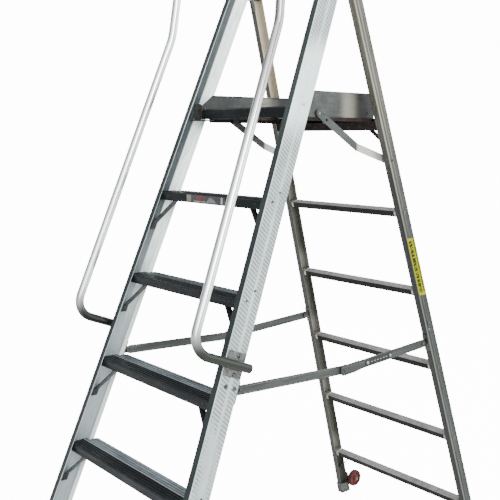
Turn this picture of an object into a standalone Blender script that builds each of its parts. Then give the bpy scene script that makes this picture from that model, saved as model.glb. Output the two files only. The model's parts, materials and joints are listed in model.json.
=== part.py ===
"""Folding platform step ladder, modelled as separate sub-parts.

Units are metres and +Z is up. The origin is on the floor, in the middle of the ladder's box.
The climbing side faces -Y, the rear frame stands at +Y, and left is -X for a climber.
The front stiles are channels that lean back and close in with height. The rear frame hangs from
two hinges near the head and folds forward under the front frame. The platform turns up on two
front studs, and folding stays and platform struts tie the two frames together.
"""
import math

import bmesh
import bpy
from mathutils import Matrix, Vector

# Driving dimensions.
DECK_Z = 1.737                 # top of the platform
TREAD_PITCH = 0.285
TREAD_COUNT = 5
FRONT_TOE_Y = -0.853           # front face of the front stiles, at the floor
FRONT_LEAN = 0.4036            # run towards +Y for each metre of height
FRONT_TOE_HALF = 0.3828        # half width over the front stiles, at the floor
FRONT_TAPER = 0.063            # narrowing of that half width for each metre of height
REAR_HEEL_Y = 0.815            # rear face of the rear legs, at the floor
REAR_LEAN = 0.3046             # run towards -Y for each metre of height
REAR_HEEL_HALF = 0.3746
REAR_TAPER = 0.058

WALL = 0.003                   # wall of the stile and leg channels
FLANGE = 0.0242                # flange width of both channels
STILE_DEPTH = 0.083            # front stile, measured level
LEG_DEPTH = 0.044              # rear leg, square to its face
STILE_TOP_Z = 2.30
LEG_TOP_Z = 2.160
SHOE_HEIGHT = 0.048
SHOE_FLOOR = 0.018             # rubber under the end of the channel
SHOE_WALL = 0.004
GAP = 0.0003                   # between pieces that bear on each other
CLEAR = 0.0005                 # between a piece and the opening around it

TREAD_DEPTH = 0.0925
TREAD_SETBACK = 0.004          # behind the front face of the stiles
TREAD_HEIGHT = 0.030
SHEET = 0.0025                 # wall of the tread and deck sections
RIB_HEIGHT = 0.0016
RIB_PITCH = 0.0115
BRACE_WIDTH = 0.020
BRACE_THICK = 0.004
BRACE_REACH = 0.105            # how far a knee brace stands in from the web

DECK_FRONT_Y = -0.112
DECK_REAR_Y = 0.273
DECK_HEIGHT = 0.034
TOE_BOARD_TOP = 0.050          # above the deck
TOE_BOARD_THICK = 0.003
TOE_BOARD_REAR_Y = 0.288
PLATFORM_PIVOT = (-0.099, DECK_Z + 0.004)      # (y, z)
PLATFORM_HALF = 0.2385         # over the toe boards, at the pivot
STUD_RADIUS = 0.005

RUNG_COUNT = 5
RUNG_PITCH = 0.290
RUNG_TOP_DROP = 0.350          # below the deck, to the top rung
RUNG_SIZE = (0.032, 0.021)     # depth, height
BEAM_SIZE = (0.034, 0.030)
BEAM_DROP = 0.036              # below the deck, to the beam's highest edge
TUBE_WALL = 0.002
REAR_KNEE_DEPTH = 0.017        # middle of the rear knee braces, in from the rear face
REAR_KNEE_WIDTH = 0.016

HINGE_Z = 2.142
HINGE_LEAF_LOW = 2.098
HINGE_LEAF_HIGH = 2.150
HINGE_LEAF_THICK = 0.0022
HINGE_BARREL = 0.0085
HINGE_PIN = 0.0035

STAY_Z = 0.895                  # height of the stays' end pivots
STAY_SAG = 0.022                # of the knuckle, below them
STAY_STAND_OFF = 0.022         # pivots, from the faces of the stile and the leg
STAY_FRONT_LENGTH = 0.4514     # the rest of the span is the rear link
STAY_HALF_WIDTH = 0.0148
STAY_HEAD_RADIUS = 0.0185       # of the rear link, round the knuckle
STAY_THICK = 0.004
STAY_INNER_X = 0.3055          # middle plane of the front link
STAY_OUTER_X = 0.3105          # middle plane of the rear link
PIVOT_RADIUS = 0.004
PIVOT_HOLE = 0.0045

STRUT_PATH = ((0.003, 1.715), (0.181, 1.607), (0.309, 1.564))    # (y, z): tail, bend, leg pivot
STRUT_TAIL = 0.0397            # from the end of that path to the pivot under the toe board
STRUT_X = 0.2352               # inner face beside the toe board
STRUT_SET = 0.0148             # outward set at the leg pivot
STRUT_THICK = 0.003
STRUT_HALF_WIDTH = 0.0125

RAIL_RADIUS = 0.014
RAIL_STAND_OFF = 0.020         # tube centre, from the outer face of the stile
RAIL_LEAD = 0.153              # tube centre in front of the stile's front face
RAIL_FOOT_Z = 0.983            # where the foot of the rail crosses the middle of the stile
RAIL_FOOT_BACK = 0.042         # past the middle of the stile
RAIL_KINK_Z = 1.98
RAIL_TOP_Z = 2.625
RAIL_UPPER_LEAN = 0.13
RAIL_HEAD_Z = 2.22
SADDLE_THICK = 0.006

HEAD_RAIL_Z = 2.237
HEAD_RAIL_RADIUS = 0.015

WHEEL_CENTRE = (0.326, 0.819, 0.068)
WHEEL_RADIUS = 0.038
WHEEL_WIDTH = 0.024
AXLE_RADIUS = 0.005

SIDES = (("left", -1), ("right", 1))

ALUMINIUM = (0.62, 0.63, 0.61)
BRIGHT = (0.74, 0.75, 0.74)
DARK_TREAD = (0.05, 0.055, 0.06)
STEEL = (0.45, 0.45, 0.43)
DARK_STEEL = (0.09, 0.085, 0.075)
RUBBER = (0.25, 0.25, 0.23)
RED = (0.30, 0.03, 0.02)


# Geometry of the two frames.

def front_y(z):
    """Front face of the front stiles at height z."""
    return FRONT_TOE_Y + FRONT_LEAN * z


def front_half(z):
    """Half width over the front stiles at height z."""
    return FRONT_TOE_HALF - FRONT_TAPER * z


def rear_y(z):
    """Rear face of the rear legs at height z."""
    return REAR_HEEL_Y - REAR_LEAN * z


def rear_half(z):
    """Half width over the rear legs at height z."""
    return REAR_HEEL_HALF - REAR_TAPER * z


REAR_ANGLE = math.atan(REAR_LEAN)
REAR_COS = math.cos(REAR_ANGLE)
REAR_SIN = math.sin(REAR_ANGLE)
FRONT_COS = math.cos(math.atan(FRONT_LEAN))


def rear_point(x, rise, depth):
    """World point from a place on the rear frame: rise along it, depth in from its rear face."""
    y = REAR_HEEL_Y - rise * REAR_SIN - depth * REAR_COS
    return (x, y, rise * REAR_COS - depth * REAR_SIN)


def rear_rise(z, depth):
    """Rise along the rear frame at which a point at this depth has height z."""
    return (z + depth * REAR_SIN) / REAR_COS


def hinge_axis():
    """(y, z) of the head hinges: half way between the stile and the leg."""
    stile_back = front_y(HINGE_Z) + STILE_DEPTH
    leg_front = rear_y(HINGE_Z) - LEG_DEPTH / REAR_COS
    return ((stile_back + leg_front) / 2, HINGE_Z)


def stay_pivots():
    """(y, z) of the stay's front pivot, knuckle and rear pivot."""
    front = front_y(STAY_Z) + STILE_DEPTH + STAY_STAND_OFF
    rear = rear_y(STAY_Z) - LEG_DEPTH / REAR_COS - STAY_STAND_OFF
    return (front, STAY_Z), (front + STAY_FRONT_LENGTH, STAY_Z - STAY_SAG), (rear, STAY_Z)


def strut_board_pivot():
    """(y, z) of the strut's pivot on the toe board."""
    tail, bend = Vector(STRUT_PATH[0]), Vector(STRUT_PATH[1])
    return tuple(tail + (bend - tail).normalized() * STRUT_TAIL)


def platform_half(y):
    """Half width over the toe boards, which close in like the stiles they swing up between."""
    return PLATFORM_HALF - FRONT_TAPER * FRONT_COS * (y - PLATFORM_PIVOT[0])


# Outlines in a plane, as lists of (u, v).

def arc(centre, radius, start, end, steps):
    """Points on an arc from angle start to angle end, in radians, both ends included."""
    points = []
    for step in range(steps + 1):
        angle = start + (end - start) * step / steps
        points.append((centre[0] + radius * math.cos(angle), centre[1] + radius * math.sin(angle)))
    return points


def circle(centre, radius, steps=16):
    """A closed round outline."""
    return arc(centre, radius, 0, 2 * math.pi, steps)[:-1]


def rectangle(u0, v0, u1, v1):
    """A closed rectangular outline."""
    return [(u0, v0), (u1, v0), (u1, v1), (u0, v1)]


def offset_side(path, distance):
    """A polyline moved sideways by distance, with mitred corners."""
    points = [Vector(point) for point in path]
    normals = []
    for start, end in zip(points, points[1:]):
        run = (end - start).normalized()
        normals.append(Vector((-run.y, run.x)))
    side = []
    for index, point in enumerate(points):
        before = normals[max(index - 1, 0)]
        after = normals[min(index, len(normals) - 1)]
        mitre = (before + after) / (1 + before.dot(after))
        side.append(tuple(point + mitre * distance))
    return side


def band(path, half_width, round_ends=False):
    """Outline of a bar that follows a polyline, with square or half-round ends."""
    left = offset_side(path, half_width)
    right = offset_side(path, -half_width)
    if not round_ends:
        return left + right[::-1]
    first = Vector(path[0]) - Vector(path[1])
    last = Vector(path[-1]) - Vector(path[-2])
    start_angle = math.atan2(first.y, first.x)
    end_angle = math.atan2(last.y, last.x)
    quarter = math.pi / 2
    nose = arc(path[-1], half_width, end_angle + quarter, end_angle - quarter, 8)
    tail = arc(path[0], half_width, start_angle + quarter, start_angle - quarter, 8)
    return left[1:-1] + nose + right[1:-1][::-1] + tail


def channel_outline(depth):
    """C section: u is 0 at the outer face and negative inwards, v runs across the depth."""
    return [(0, 0), (0, depth), (-FLANGE, depth), (-FLANGE, depth - WALL), (-WALL, depth - WALL),
            (-WALL, WALL), (-FLANGE, WALL), (-FLANGE, 0)]


def ribbed_pan(depth, height, rib_count):
    """Section of a tread or deck, open below: u runs back from the nose, v is 0 on the rib tops."""
    nose = 0.004
    margin = (depth - (rib_count - 0.5) * RIB_PITCH) / 2
    points = [(0, -height)]
    points += arc((nose, -nose - RIB_HEIGHT), nose, math.pi, math.pi / 2, 4)
    for rib in range(rib_count):
        start = margin + rib * RIB_PITCH
        end = start + RIB_PITCH / 2
        points += [(start, -RIB_HEIGHT), (start, 0), (end, 0), (end, -RIB_HEIGHT)]
    under = -RIB_HEIGHT - SHEET
    points += [(depth, -RIB_HEIGHT), (depth, -height), (depth - SHEET, -height), (depth - SHEET, under),
               (SHEET + nose, under), (SHEET, under - nose), (SHEET, -height)]
    return points


# Meshes and objects.

def weld_and_face_out(mesh):
    """Closes the seams of a mesh and turns its faces outwards."""
    work = bmesh.new()
    work.from_mesh(mesh)
    bmesh.ops.remove_doubles(work, verts=work.verts, dist=0.000001)
    bmesh.ops.recalc_face_normals(work, faces=work.faces)
    work.to_mesh(mesh)
    work.free()


def mesh_from_curve(curve):
    """The closed mesh of a filled outline or a capped tube."""
    guide = bpy.data.objects.new("guide", curve)
    bpy.context.scene.collection.objects.link(guide)
    depsgraph = bpy.context.evaluated_depsgraph_get()
    mesh = bpy.data.meshes.new_from_object(guide.evaluated_get(depsgraph))
    bpy.data.objects.remove(guide)
    bpy.data.curves.remove(curve)
    mesh.materials.clear()
    weld_and_face_out(mesh)
    return mesh


def prism(loops, thickness):
    """A flat outline, with any holes after it, given thickness about its own plane."""
    curve = bpy.data.curves.new("outline", "CURVE")
    curve.dimensions = "2D"
    curve.fill_mode = "BOTH"
    curve.extrude = thickness / 2
    for loop in loops:
        spline = curve.splines.new("POLY")
        spline.points.add(len(loop) - 1)
        for point, (u, v) in zip(spline.points, loop):
            point.co = (u, v, 0, 1)
        spline.use_cyclic_u = True
    return mesh_from_curve(curve)


def tube(points, radius, resolution=4):
    """A capped round bar along a list of points."""
    curve = bpy.data.curves.new("tube", "CURVE")
    curve.dimensions = "3D"
    curve.bevel_depth = radius
    curve.bevel_resolution = resolution
    curve.use_fill_caps = True
    spline = curve.splines.new("POLY")
    spline.points.add(len(points) - 1)
    for point, place in zip(spline.points, points):
        point.co = (*place, 1)
    return mesh_from_curve(curve)


def warp(mesh, place):
    """Moves each vertex to place(u, v, w) and faces the mesh outwards again."""
    for vertex in mesh.vertices:
        vertex.co = place(*vertex.co)
    weld_and_face_out(mesh)
    return mesh


def material(name, colour, roughness, metallic):
    """A Principled material for one sub-part."""
    made = bpy.data.materials.new(name)
    made.use_nodes = True
    shader = made.node_tree.nodes["Principled BSDF"]
    shader.inputs["Base Color"].default_value = (*colour, 1)
    shader.inputs["Roughness"].default_value = roughness
    shader.inputs["Metallic"].default_value = metallic
    return made


FINISHES = {
    "aluminium": (ALUMINIUM, 0.38, 1.0),
    "bright": (BRIGHT, 0.22, 1.0),
    "tread": (DARK_TREAD, 0.45, 0.6),
    "steel": (STEEL, 0.40, 1.0),
    "dark": (DARK_STEEL, 0.55, 0.8),
    "rubber": (RUBBER, 0.75, 0.0),
    "red": (RED, 0.40, 0.0),
}


def add_part(name, mesh, finish, pivot=None):
    """Puts a mesh made in world coordinates into the ladder, with its origin at its pivot."""
    part = bpy.data.objects.new(name, mesh)
    mesh.name = name
    mesh.materials.append(material(name, *FINISHES[finish]))
    mesh.shade_smooth()
    mesh.set_sharp_from_angle(angle=math.radians(35))
    ladder.objects.link(part)
    if pivot:
        place = Vector(pivot.location)
        mesh.transform(Matrix.Translation(-place))
        part.parent = pivot
    return part


def add_tool(mesh, part, operation):
    """Joins or cuts a part with a second shape, kept as a hidden tool."""
    tool = bpy.data.objects.new(part.name + "_tool", mesh)
    cutters.objects.link(tool)
    tool.hide_render = True
    tool.display_type = "WIRE"
    if part.parent:
        mesh.transform(Matrix.Translation(-Vector(part.parent.location)))
        tool.parent = part.parent
    step = part.modifiers.new(operation.lower(), "BOOLEAN")
    step.operation = operation
    step.solver = "EXACT"
    step.object = tool


def pivot_at(name, y, z):
    """An empty on a cross axis, for the parts that turn on it."""
    empty = bpy.data.objects.new(name, None)
    empty.location = (0, y, z)
    ladder.objects.link(empty)
    return empty


# Shapes that both frames use.

def side_plate(loops, x, thickness, side):
    """A plate in the Y-Z plane: its outline is in world (y, z), its middle plane at side * x."""
    return warp(prism(loops, thickness), lambda u, v, w: (side * (x + w), u, v))


def cross_bar(centre, radius, x0, x1, side):
    """A round bar along X at (y, z), from side * x0 to side * x1."""
    return side_plate([circle(centre, radius)], (x0 + x1) / 2, x1 - x0, side)


def front_prism(loops, z0, z1, side):
    """A level outline carried up the front stile: u from its outer face, v from its front face."""
    def place(u, v, w):
        z = (z0 + z1) / 2 + w
        return (side * (front_half(z) + u), front_y(z) + v, z)
    return warp(prism(loops, z1 - z0), place)


def rear_prism(loops, z0, z1, side):
    """A square-cut outline carried up the rear leg, ended level at z0 and z1."""
    def place(u, v, w):
        rise = rear_rise(z1 if w > 0 else z0, v)
        x, y, z = rear_point(0, rise, v)
        return (side * (rear_half(z) + u), y, z)
    return warp(prism(loops, 1), place)


def knee_path(half_at, top, reach, tab):
    """Bent path of a knee brace in (x, z): a tab under the member, a slope, a tab on the web."""
    def web(z):
        return half_at(z) - WALL - GAP - BRACE_THICK / 2
    start = web(top) - reach
    return [(start - tab, top), (start, top), (web(top - reach), top - reach),
            (web(top - reach - tab), top - reach - tab)]


# The front frame.

def make_front_stile(word, side):
    mesh = front_prism([channel_outline(STILE_DEPTH)], SHOE_FLOOR + GAP, STILE_TOP_Z, side)
    add_part("front_stile_" + word, mesh, "aluminium")


def make_front_shoe(word, side):
    edge = SHOE_WALL
    block = rectangle(-FLANGE - edge, -edge, edge, STILE_DEPTH + edge)
    shoe = add_part("front_shoe_" + word, front_prism([block], 0, SHOE_HEIGHT, side), "rubber")
    socket = rectangle(-FLANGE - CLEAR, -CLEAR, CLEAR, STILE_DEPTH + CLEAR)
    add_tool(front_prism([socket], SHOE_FLOOR, 2 * SHOE_HEIGHT, side), shoe, "DIFFERENCE")


def make_tread(number):
    """Treads count from the floor. The rear corners are cut back to clear the stiles' flanges."""
    top = DECK_Z - (TREAD_COUNT + 1 - number) * TREAD_PITCH
    nose = front_y(top) + TREAD_SETBACK
    end = front_half(top) - WALL - CLEAR
    outline = ribbed_pan(TREAD_DEPTH, TREAD_HEIGHT, 7)
    mesh = warp(prism([outline], 2 * end), lambda u, v, w: (w, nose + u, top + v))
    tread = add_part("tread_%d" % number, mesh, "tread")
    flange_shift = FRONT_LEAN * TREAD_HEIGHT
    notch = front_y(top) + STILE_DEPTH - WALL - flange_shift - 0.002
    inner = front_half(top) - FLANGE - 0.001
    for side in (-1, 1):
        cut = rectangle(notch, top - 0.06, notch + 0.08, top + 0.02)
        add_tool(side_plate([cut], inner + 0.03, 0.06, side), tread, "DIFFERENCE")


def make_tread_brace(number, word, side):
    top = DECK_Z - (TREAD_COUNT + 1 - number) * TREAD_PITCH
    under = top - RIB_HEIGHT - SHEET - GAP - BRACE_THICK / 2
    outline = band(knee_path(front_half, under, BRACE_REACH, 0.022), BRACE_THICK / 2)
    middle = TREAD_SETBACK + 0.027

    def place(u, v, w):
        return (side * u, front_y(v) + middle + w, v)
    mesh = warp(prism([outline], BRACE_WIDTH), place)
    add_part("tread_brace_%d_%s" % (number, word), mesh, "dark")


def make_platform_bracket(word, side):
    """Cleat on the stile's web: a shelf under the platform and the stud that it turns on."""
    low = DECK_Z - DECK_HEIGHT - 0.0065
    high = PLATFORM_PIVOT[1] + 0.016
    front = front_y(high) + WALL + 0.003
    back = front_y(low) + STILE_DEPTH - WALL - 0.003
    outer = -WALL - GAP
    leaf_outline = rectangle(back - 0.029, low, back, high)

    def place(u, v, w):
        return (side * (front_half(v) + outer - 0.002 + w), u, v)
    bracket = add_part("platform_bracket_" + word, warp(prism([leaf_outline], 0.004), place), "dark")
    web = front_half(low) - WALL - 0.002
    shelf = rectangle(front, low, back, low + 0.004)
    add_tool(side_plate([shelf], (0.196 + web) / 2, web - 0.196, side), bracket, "UNION")
    stud_end = PLATFORM_HALF - TOE_BOARD_THICK - 0.003
    web = front_half(PLATFORM_PIVOT[1]) - WALL - 0.002
    add_tool(cross_bar(PLATFORM_PIVOT, STUD_RADIUS, stud_end, web, side), bracket, "UNION")


def make_head_rail():
    """Cross tube between the heads of the front stiles."""
    y = front_y(HEAD_RAIL_Z) + STILE_DEPTH / 2
    end = front_half(HEAD_RAIL_Z + HEAD_RAIL_RADIUS) - WALL - CLEAR
    loops = [circle((y, HEAD_RAIL_Z), HEAD_RAIL_RADIUS, 20),
             circle((y, HEAD_RAIL_Z), HEAD_RAIL_RADIUS - TUBE_WALL, 20)]
    add_part("head_rail", side_plate(loops, 0, 2 * end, 1), "aluminium")


def fillet(before, corner, after, radius, steps):
    """Arc that rounds the corner of a path in (y, z)."""
    here = Vector(corner)
    into = (here - Vector(before)).normalized()
    out = (Vector(after) - here).normalized()
    half = math.acos(max(-1, min(1, into.dot(out)))) / 2
    reach = radius * math.tan(half)
    bisector = (out - into).normalized()
    centre = here + bisector * (radius / math.cos(half))
    first = here - into * reach - centre
    turn = math.copysign(2 * half, into.x * out.y - into.y * out.x)
    points = []
    for step in range(steps + 1):
        angle = turn * step / steps
        c, s = math.cos(angle), math.sin(angle)
        points.append((centre.x + first.x * c - first.y * s, centre.y + first.x * s + first.y * c))
    return points


def handrail_path():
    """Centre line of a handrail in (y, z), from its foot to its head."""
    along = Vector((FRONT_LEAN, 1)).normalized()
    across = Vector((along.y, -along.x))
    foot = Vector((front_y(RAIL_FOOT_Z) + STILE_DEPTH / 2, RAIL_FOOT_Z))
    start = foot + across * RAIL_FOOT_BACK
    knee = foot - across * (RAIL_LEAD + STILE_DEPTH / 2) * along.y
    kink = (front_y(RAIL_KINK_Z) - RAIL_LEAD, RAIL_KINK_Z)
    brow = (kink[0] + RAIL_UPPER_LEAN * (RAIL_TOP_Z - RAIL_KINK_Z), RAIL_TOP_Z)
    head_y = front_y(RAIL_HEAD_Z) + STILE_DEPTH / 2
    crown = (head_y, RAIL_TOP_Z)
    end = (head_y, RAIL_HEAD_Z - 0.035)
    path = [tuple(start)]
    path += fillet(start, knee, kink, 0.065, 9)
    path += fillet(knee, kink, brow, 0.20, 4)
    path += fillet(kink, brow, crown, 0.095, 9)
    path += fillet(brow, crown, end, 0.095, 9)
    path.append(end)
    return path


def saddle_outline(z, length):
    """Plate across the stile's web at height z, square to the stile."""
    centre = Vector((front_y(z) + STILE_DEPTH / 2, z))
    along = Vector((FRONT_LEAN, 1)).normalized() * length / 2
    across = Vector((along.y, -along.x)).normalized() * 0.034
    corners = (centre - along - across, centre - along + across,
               centre + along + across, centre + along - across)
    return [tuple(corner) for corner in corners]


def make_handrail(word, side):
    """Bent tube with a saddle plate welded to each end."""
    points = []
    for y, z in handrail_path():
        points.append((side * (front_half(z) + RAIL_STAND_OFF), y, z))
    rail = add_part("handrail_" + word, tube(points, RAIL_RADIUS, 4), "bright")
    thickness = SADDLE_THICK + 0.001
    for z, length in ((RAIL_FOOT_Z, 0.076), (RAIL_HEAD_Z, 0.070)):
        def place(u, v, w):
            return (side * (front_half(v) + GAP + thickness / 2 + w), u, v)
        add_tool(warp(prism([saddle_outline(z, length)], thickness), place), rail, "UNION")


# The head hinges.

def make_hinge_front_leaf(word, side):
    """Leaf on the stile's rear flange, with its knuckle and the pin."""
    flange_middle = -FLANGE / 2
    leaf = rectangle(flange_middle + CLEAR, STILE_DEPTH + GAP, -0.001, STILE_DEPTH + GAP + HINGE_LEAF_THICK)
    mesh = front_prism([leaf], HINGE_LEAF_LOW, HINGE_LEAF_HIGH, side)
    part = add_part("hinge_front_leaf_" + word, mesh, "steel")
    half = front_half(HINGE_Z)
    knuckle = cross_bar(hinge_axis(), HINGE_BARREL, half + flange_middle + CLEAR, half - 0.001, side)
    add_tool(knuckle, part, "UNION")
    pin = cross_bar(hinge_axis(), HINGE_PIN, half - FLANGE - 0.002, half - 0.002, side)
    add_tool(pin, part, "UNION")


def make_hinge_rear_leaf(word, side, pivot):
    """Leaf on the leg's front flange, bored for the pin."""
    half = front_half(HINGE_Z)
    inner, outer = half - FLANGE + 0.0005, half - FLANGE / 2 - CLEAR
    depth = LEG_DEPTH + GAP
    plate = rectangle(0, depth, outer - inner, depth + HINGE_LEAF_THICK)

    def place(u, v, w):
        rise = rear_rise(HINGE_LEAF_HIGH if w > 0 else HINGE_LEAF_LOW, v)
        return rear_point(side * (inner + u), rise, v)
    part = add_part("hinge_rear_leaf_" + word, warp(prism([plate], 1), place), "steel", pivot)
    add_tool(cross_bar(hinge_axis(), HINGE_BARREL, inner, outer, side), part, "UNION")
    bore = cross_bar(hinge_axis(), HINGE_PIN + CLEAR, inner - 0.01, outer + 0.01, side)
    add_tool(bore, part, "DIFFERENCE")


# The rear frame.

def make_rear_leg(word, side, pivot):
    mesh = rear_prism([channel_outline(LEG_DEPTH)], SHOE_FLOOR + GAP, LEG_TOP_Z, side)
    add_part("rear_leg_" + word, mesh, "aluminium", pivot)


def make_rear_shoe(word, side, pivot):
    edge = SHOE_WALL
    block = rectangle(-FLANGE - edge, -edge, edge, LEG_DEPTH + edge)
    shoe = add_part("rear_shoe_" + word, rear_prism([block], 0, SHOE_HEIGHT, side), "rubber", pivot)
    socket = rectangle(-FLANGE - CLEAR, -CLEAR, CLEAR, LEG_DEPTH + CLEAR)
    add_tool(rear_prism([socket], SHOE_FLOOR, 2 * SHOE_HEIGHT, side), shoe, "DIFFERENCE")


def rear_tube(size, top_rise):
    """Hollow bar across the rear legs, square to them. Returns its mesh."""
    depth, height = size
    middle = LEG_DEPTH / 2
    z_top = rear_point(0, top_rise, middle)[2]
    end = rear_half(z_top + depth * REAR_SIN) - WALL - CLEAR
    near, far = middle - depth / 2, middle + depth / 2
    low = top_rise - height
    loops = [rectangle(near, low, far, top_rise),
             rectangle(near + TUBE_WALL, low + TUBE_WALL, far - TUBE_WALL, top_rise - TUBE_WALL)]
    return warp(prism(loops, 2 * end), lambda u, v, w: rear_point(w, v, u))


def rear_knee(top_rise, reach, tab, side):
    """Knee brace below a rear bar whose underside is at top_rise."""
    def half_at(rise):
        return rear_half(rear_point(0, rise, LEG_DEPTH / 2)[2])
    outline = band(knee_path(half_at, top_rise - BRACE_THICK / 2, reach, tab), BRACE_THICK / 2)

    def place(u, v, w):
        return rear_point(side * u, v, REAR_KNEE_DEPTH + w)
    return warp(prism([outline], REAR_KNEE_WIDTH), place)


def make_rung(number, pivot):
    """Rungs count from the floor."""
    top = DECK_Z - RUNG_TOP_DROP - (RUNG_COUNT - number) * RUNG_PITCH
    rise = rear_rise(top, LEG_DEPTH / 2)
    add_part("rung_%d" % number, rear_tube(RUNG_SIZE, rise), "aluminium", pivot)
    if number == 1:
        for word, side in SIDES:
            mesh = rear_knee(rise - RUNG_SIZE[1] - GAP, 0.085, 0.020, side)
            add_part("foot_brace_" + word, mesh, "dark", pivot)


def make_rear_beam(pivot):
    """Beam that the platform rests on, with a knee welded under each end."""
    rise = rear_rise(DECK_Z - BEAM_DROP, LEG_DEPTH / 2 - BEAM_SIZE[0] / 2)
    beam = add_part("rear_beam", rear_tube(BEAM_SIZE, rise), "dark", pivot)
    for side in (-1, 1):
        add_tool(rear_knee(rise - BEAM_SIZE[1] + 0.001, 0.072, 0.012, side), beam, "UNION")


def make_strut_stud(word, side, pivot):
    """Flanged stud on the leg's web that the platform strut turns on."""
    centre = STRUT_PATH[2]
    web = rear_half(centre[1] + 0.012) - WALL - GAP
    part = add_part("strut_stud_" + word, cross_bar(centre, 0.010, web - 0.003, web, side), "steel", pivot)
    inner = STRUT_X + STRUT_SET - 0.0025
    add_tool(cross_bar(centre, PIVOT_RADIUS, inner, web - 0.001, side), part, "UNION")


def make_wheel_bracket(word, side, pivot):
    """Angle on the leg's rear flange with the wheel's axle on its fin."""
    x, y, z = WHEEL_CENTRE
    low, high = z - 0.020, z + 0.030
    fin_inner = x + WHEEL_WIDTH / 2 + 0.0025
    fin_outer = fin_inner + 0.004
    leaf = rectangle(-FLANGE - 0.006, -GAP - 0.003, -0.002, -GAP)
    part = add_part("wheel_bracket_" + word, rear_prism([leaf], low, high, side), "steel", pivot)
    root = (rear_y(z) + 0.0025, z)
    fin = band([root, (y, z)], 0.012, True)
    fin_mesh = side_plate([fin], (fin_inner + fin_outer) / 2, 0.004, side)
    add_tool(fin_mesh, part, "UNION")
    axle_end = x - WHEEL_WIDTH / 2 - 0.004
    add_tool(cross_bar((y, z), AXLE_RADIUS, axle_end, fin_inner + 0.001, side), part, "UNION")


def make_wheel(word, side, parent):
    """Tilt wheel, a turned profile on its own axle."""
    x, y, z = WHEEL_CENTRE
    pivot = bpy.data.objects.new("wheel_%s_axis" % word, None)
    pivot.location = (side * x, y, z)
    ladder.objects.link(pivot)
    bore = AXLE_RADIUS + CLEAR
    half = WHEEL_WIDTH / 2
    profile = [(bore, half), (0.012, half), (0.014, half - 0.004), (0.026, half - 0.005),
               (0.028, half - 0.001), (WHEEL_RADIUS - 0.004, half - 0.001)]
    profile += [(WHEEL_RADIUS, half - 0.005), (WHEEL_RADIUS, -half + 0.005)]
    profile += [(WHEEL_RADIUS - 0.004, -half + 0.001), (0.028, -half + 0.001), (0.026, -half + 0.005),
                (0.014, -half + 0.004), (0.012, -half), (bore, -half), (bore, half)]
    mesh = bpy.data.meshes.new("wheel_" + word)
    work = bmesh.new()
    verts = [work.verts.new((radius, 0, height)) for radius, height in profile]
    for first, second in zip(verts, verts[1:]):
        work.edges.new((first, second))
    work.to_mesh(mesh)
    work.free()
    wheel = bpy.data.objects.new("wheel_" + word, mesh)
    mesh.materials.append(material("wheel_" + word, *FINISHES["red"]))
    ladder.objects.link(wheel)
    wheel.parent = pivot
    wheel.rotation_euler = (0, math.pi / 2, 0)
    turn = wheel.modifiers.new("turn", "SCREW")
    turn.steps = 28
    turn.render_steps = 28
    turn.use_merge_vertices = True
    turn.merge_threshold = 0.0001
    turn.use_smooth_shade = True
    return parent


# The platform and its struts.

def make_toe_board(word, side, pivot):
    y0, z0 = DECK_FRONT_Y, DECK_Z
    low = z0 - DECK_HEIGHT
    ear = strut_board_pivot()
    outline = [(y0, low), (ear[0] - 0.0115, low)] + arc(ear, 0.0115, math.pi, 2 * math.pi, 8)
    outline += [(ear[0] + 0.0115, low), (TOE_BOARD_REAR_Y, low), (TOE_BOARD_REAR_Y, z0 + TOE_BOARD_TOP),
                (y0 + 0.046, z0 + TOE_BOARD_TOP), (y0, z0 + 0.012)]
    hole = circle(PLATFORM_PIVOT, STUD_RADIUS + CLEAR)

    def place(u, v, w):
        return (side * (platform_half(u) - TOE_BOARD_THICK / 2 + w), u, v)
    mesh = warp(prism([outline, hole], TOE_BOARD_THICK), place)
    add_part("toe_board_" + word, mesh, "aluminium", pivot)


def make_deck(pivot):
    """Ribbed deck section that spans between the toe boards."""
    depth = DECK_REAR_Y - DECK_FRONT_Y
    outline = ribbed_pan(depth, DECK_HEIGHT, int(depth / RIB_PITCH) - 1)
    stud_room = 0.006

    def place(u, v, w):
        y = DECK_FRONT_Y + u
        half = platform_half(y) - TOE_BOARD_THICK - CLEAR
        return (math.copysign(half, w), y, DECK_Z + v)
    deck = add_part("deck", warp(prism([outline], 1), place), "tread", pivot)
    for side in (-1, 1):
        centre = (PLATFORM_PIVOT[0], PLATFORM_PIVOT[1])
        outer = PLATFORM_HALF
        cut = cross_bar(centre, STUD_RADIUS + stud_room, outer - 0.012, outer + 0.01, side)
        add_tool(cut, deck, "DIFFERENCE")


def make_strut(word, side, pivot):
    """Bent flat bar from the toe board to the leg, set outwards past its bend."""
    _, bend, end = (Vector(point) for point in STRUT_PATH)
    run = (end - bend).normalized()
    length = (end - bend).length
    outline = band(STRUT_PATH, STRUT_HALF_WIDTH, True)
    holes = [circle(STRUT_PATH[2], PIVOT_HOLE), circle(strut_board_pivot(), PIVOT_HOLE)]

    def place(u, v, w):
        past = max(0, (Vector((u, v)) - bend).dot(run) - 0.004)
        x = STRUT_X + STRUT_THICK / 2 + STRUT_SET * past / length + w
        return (side * x, u, v)
    add_part("strut_" + word, warp(prism([outline] + holes, STRUT_THICK), place), "steel", pivot)


# The folding stays.

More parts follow.
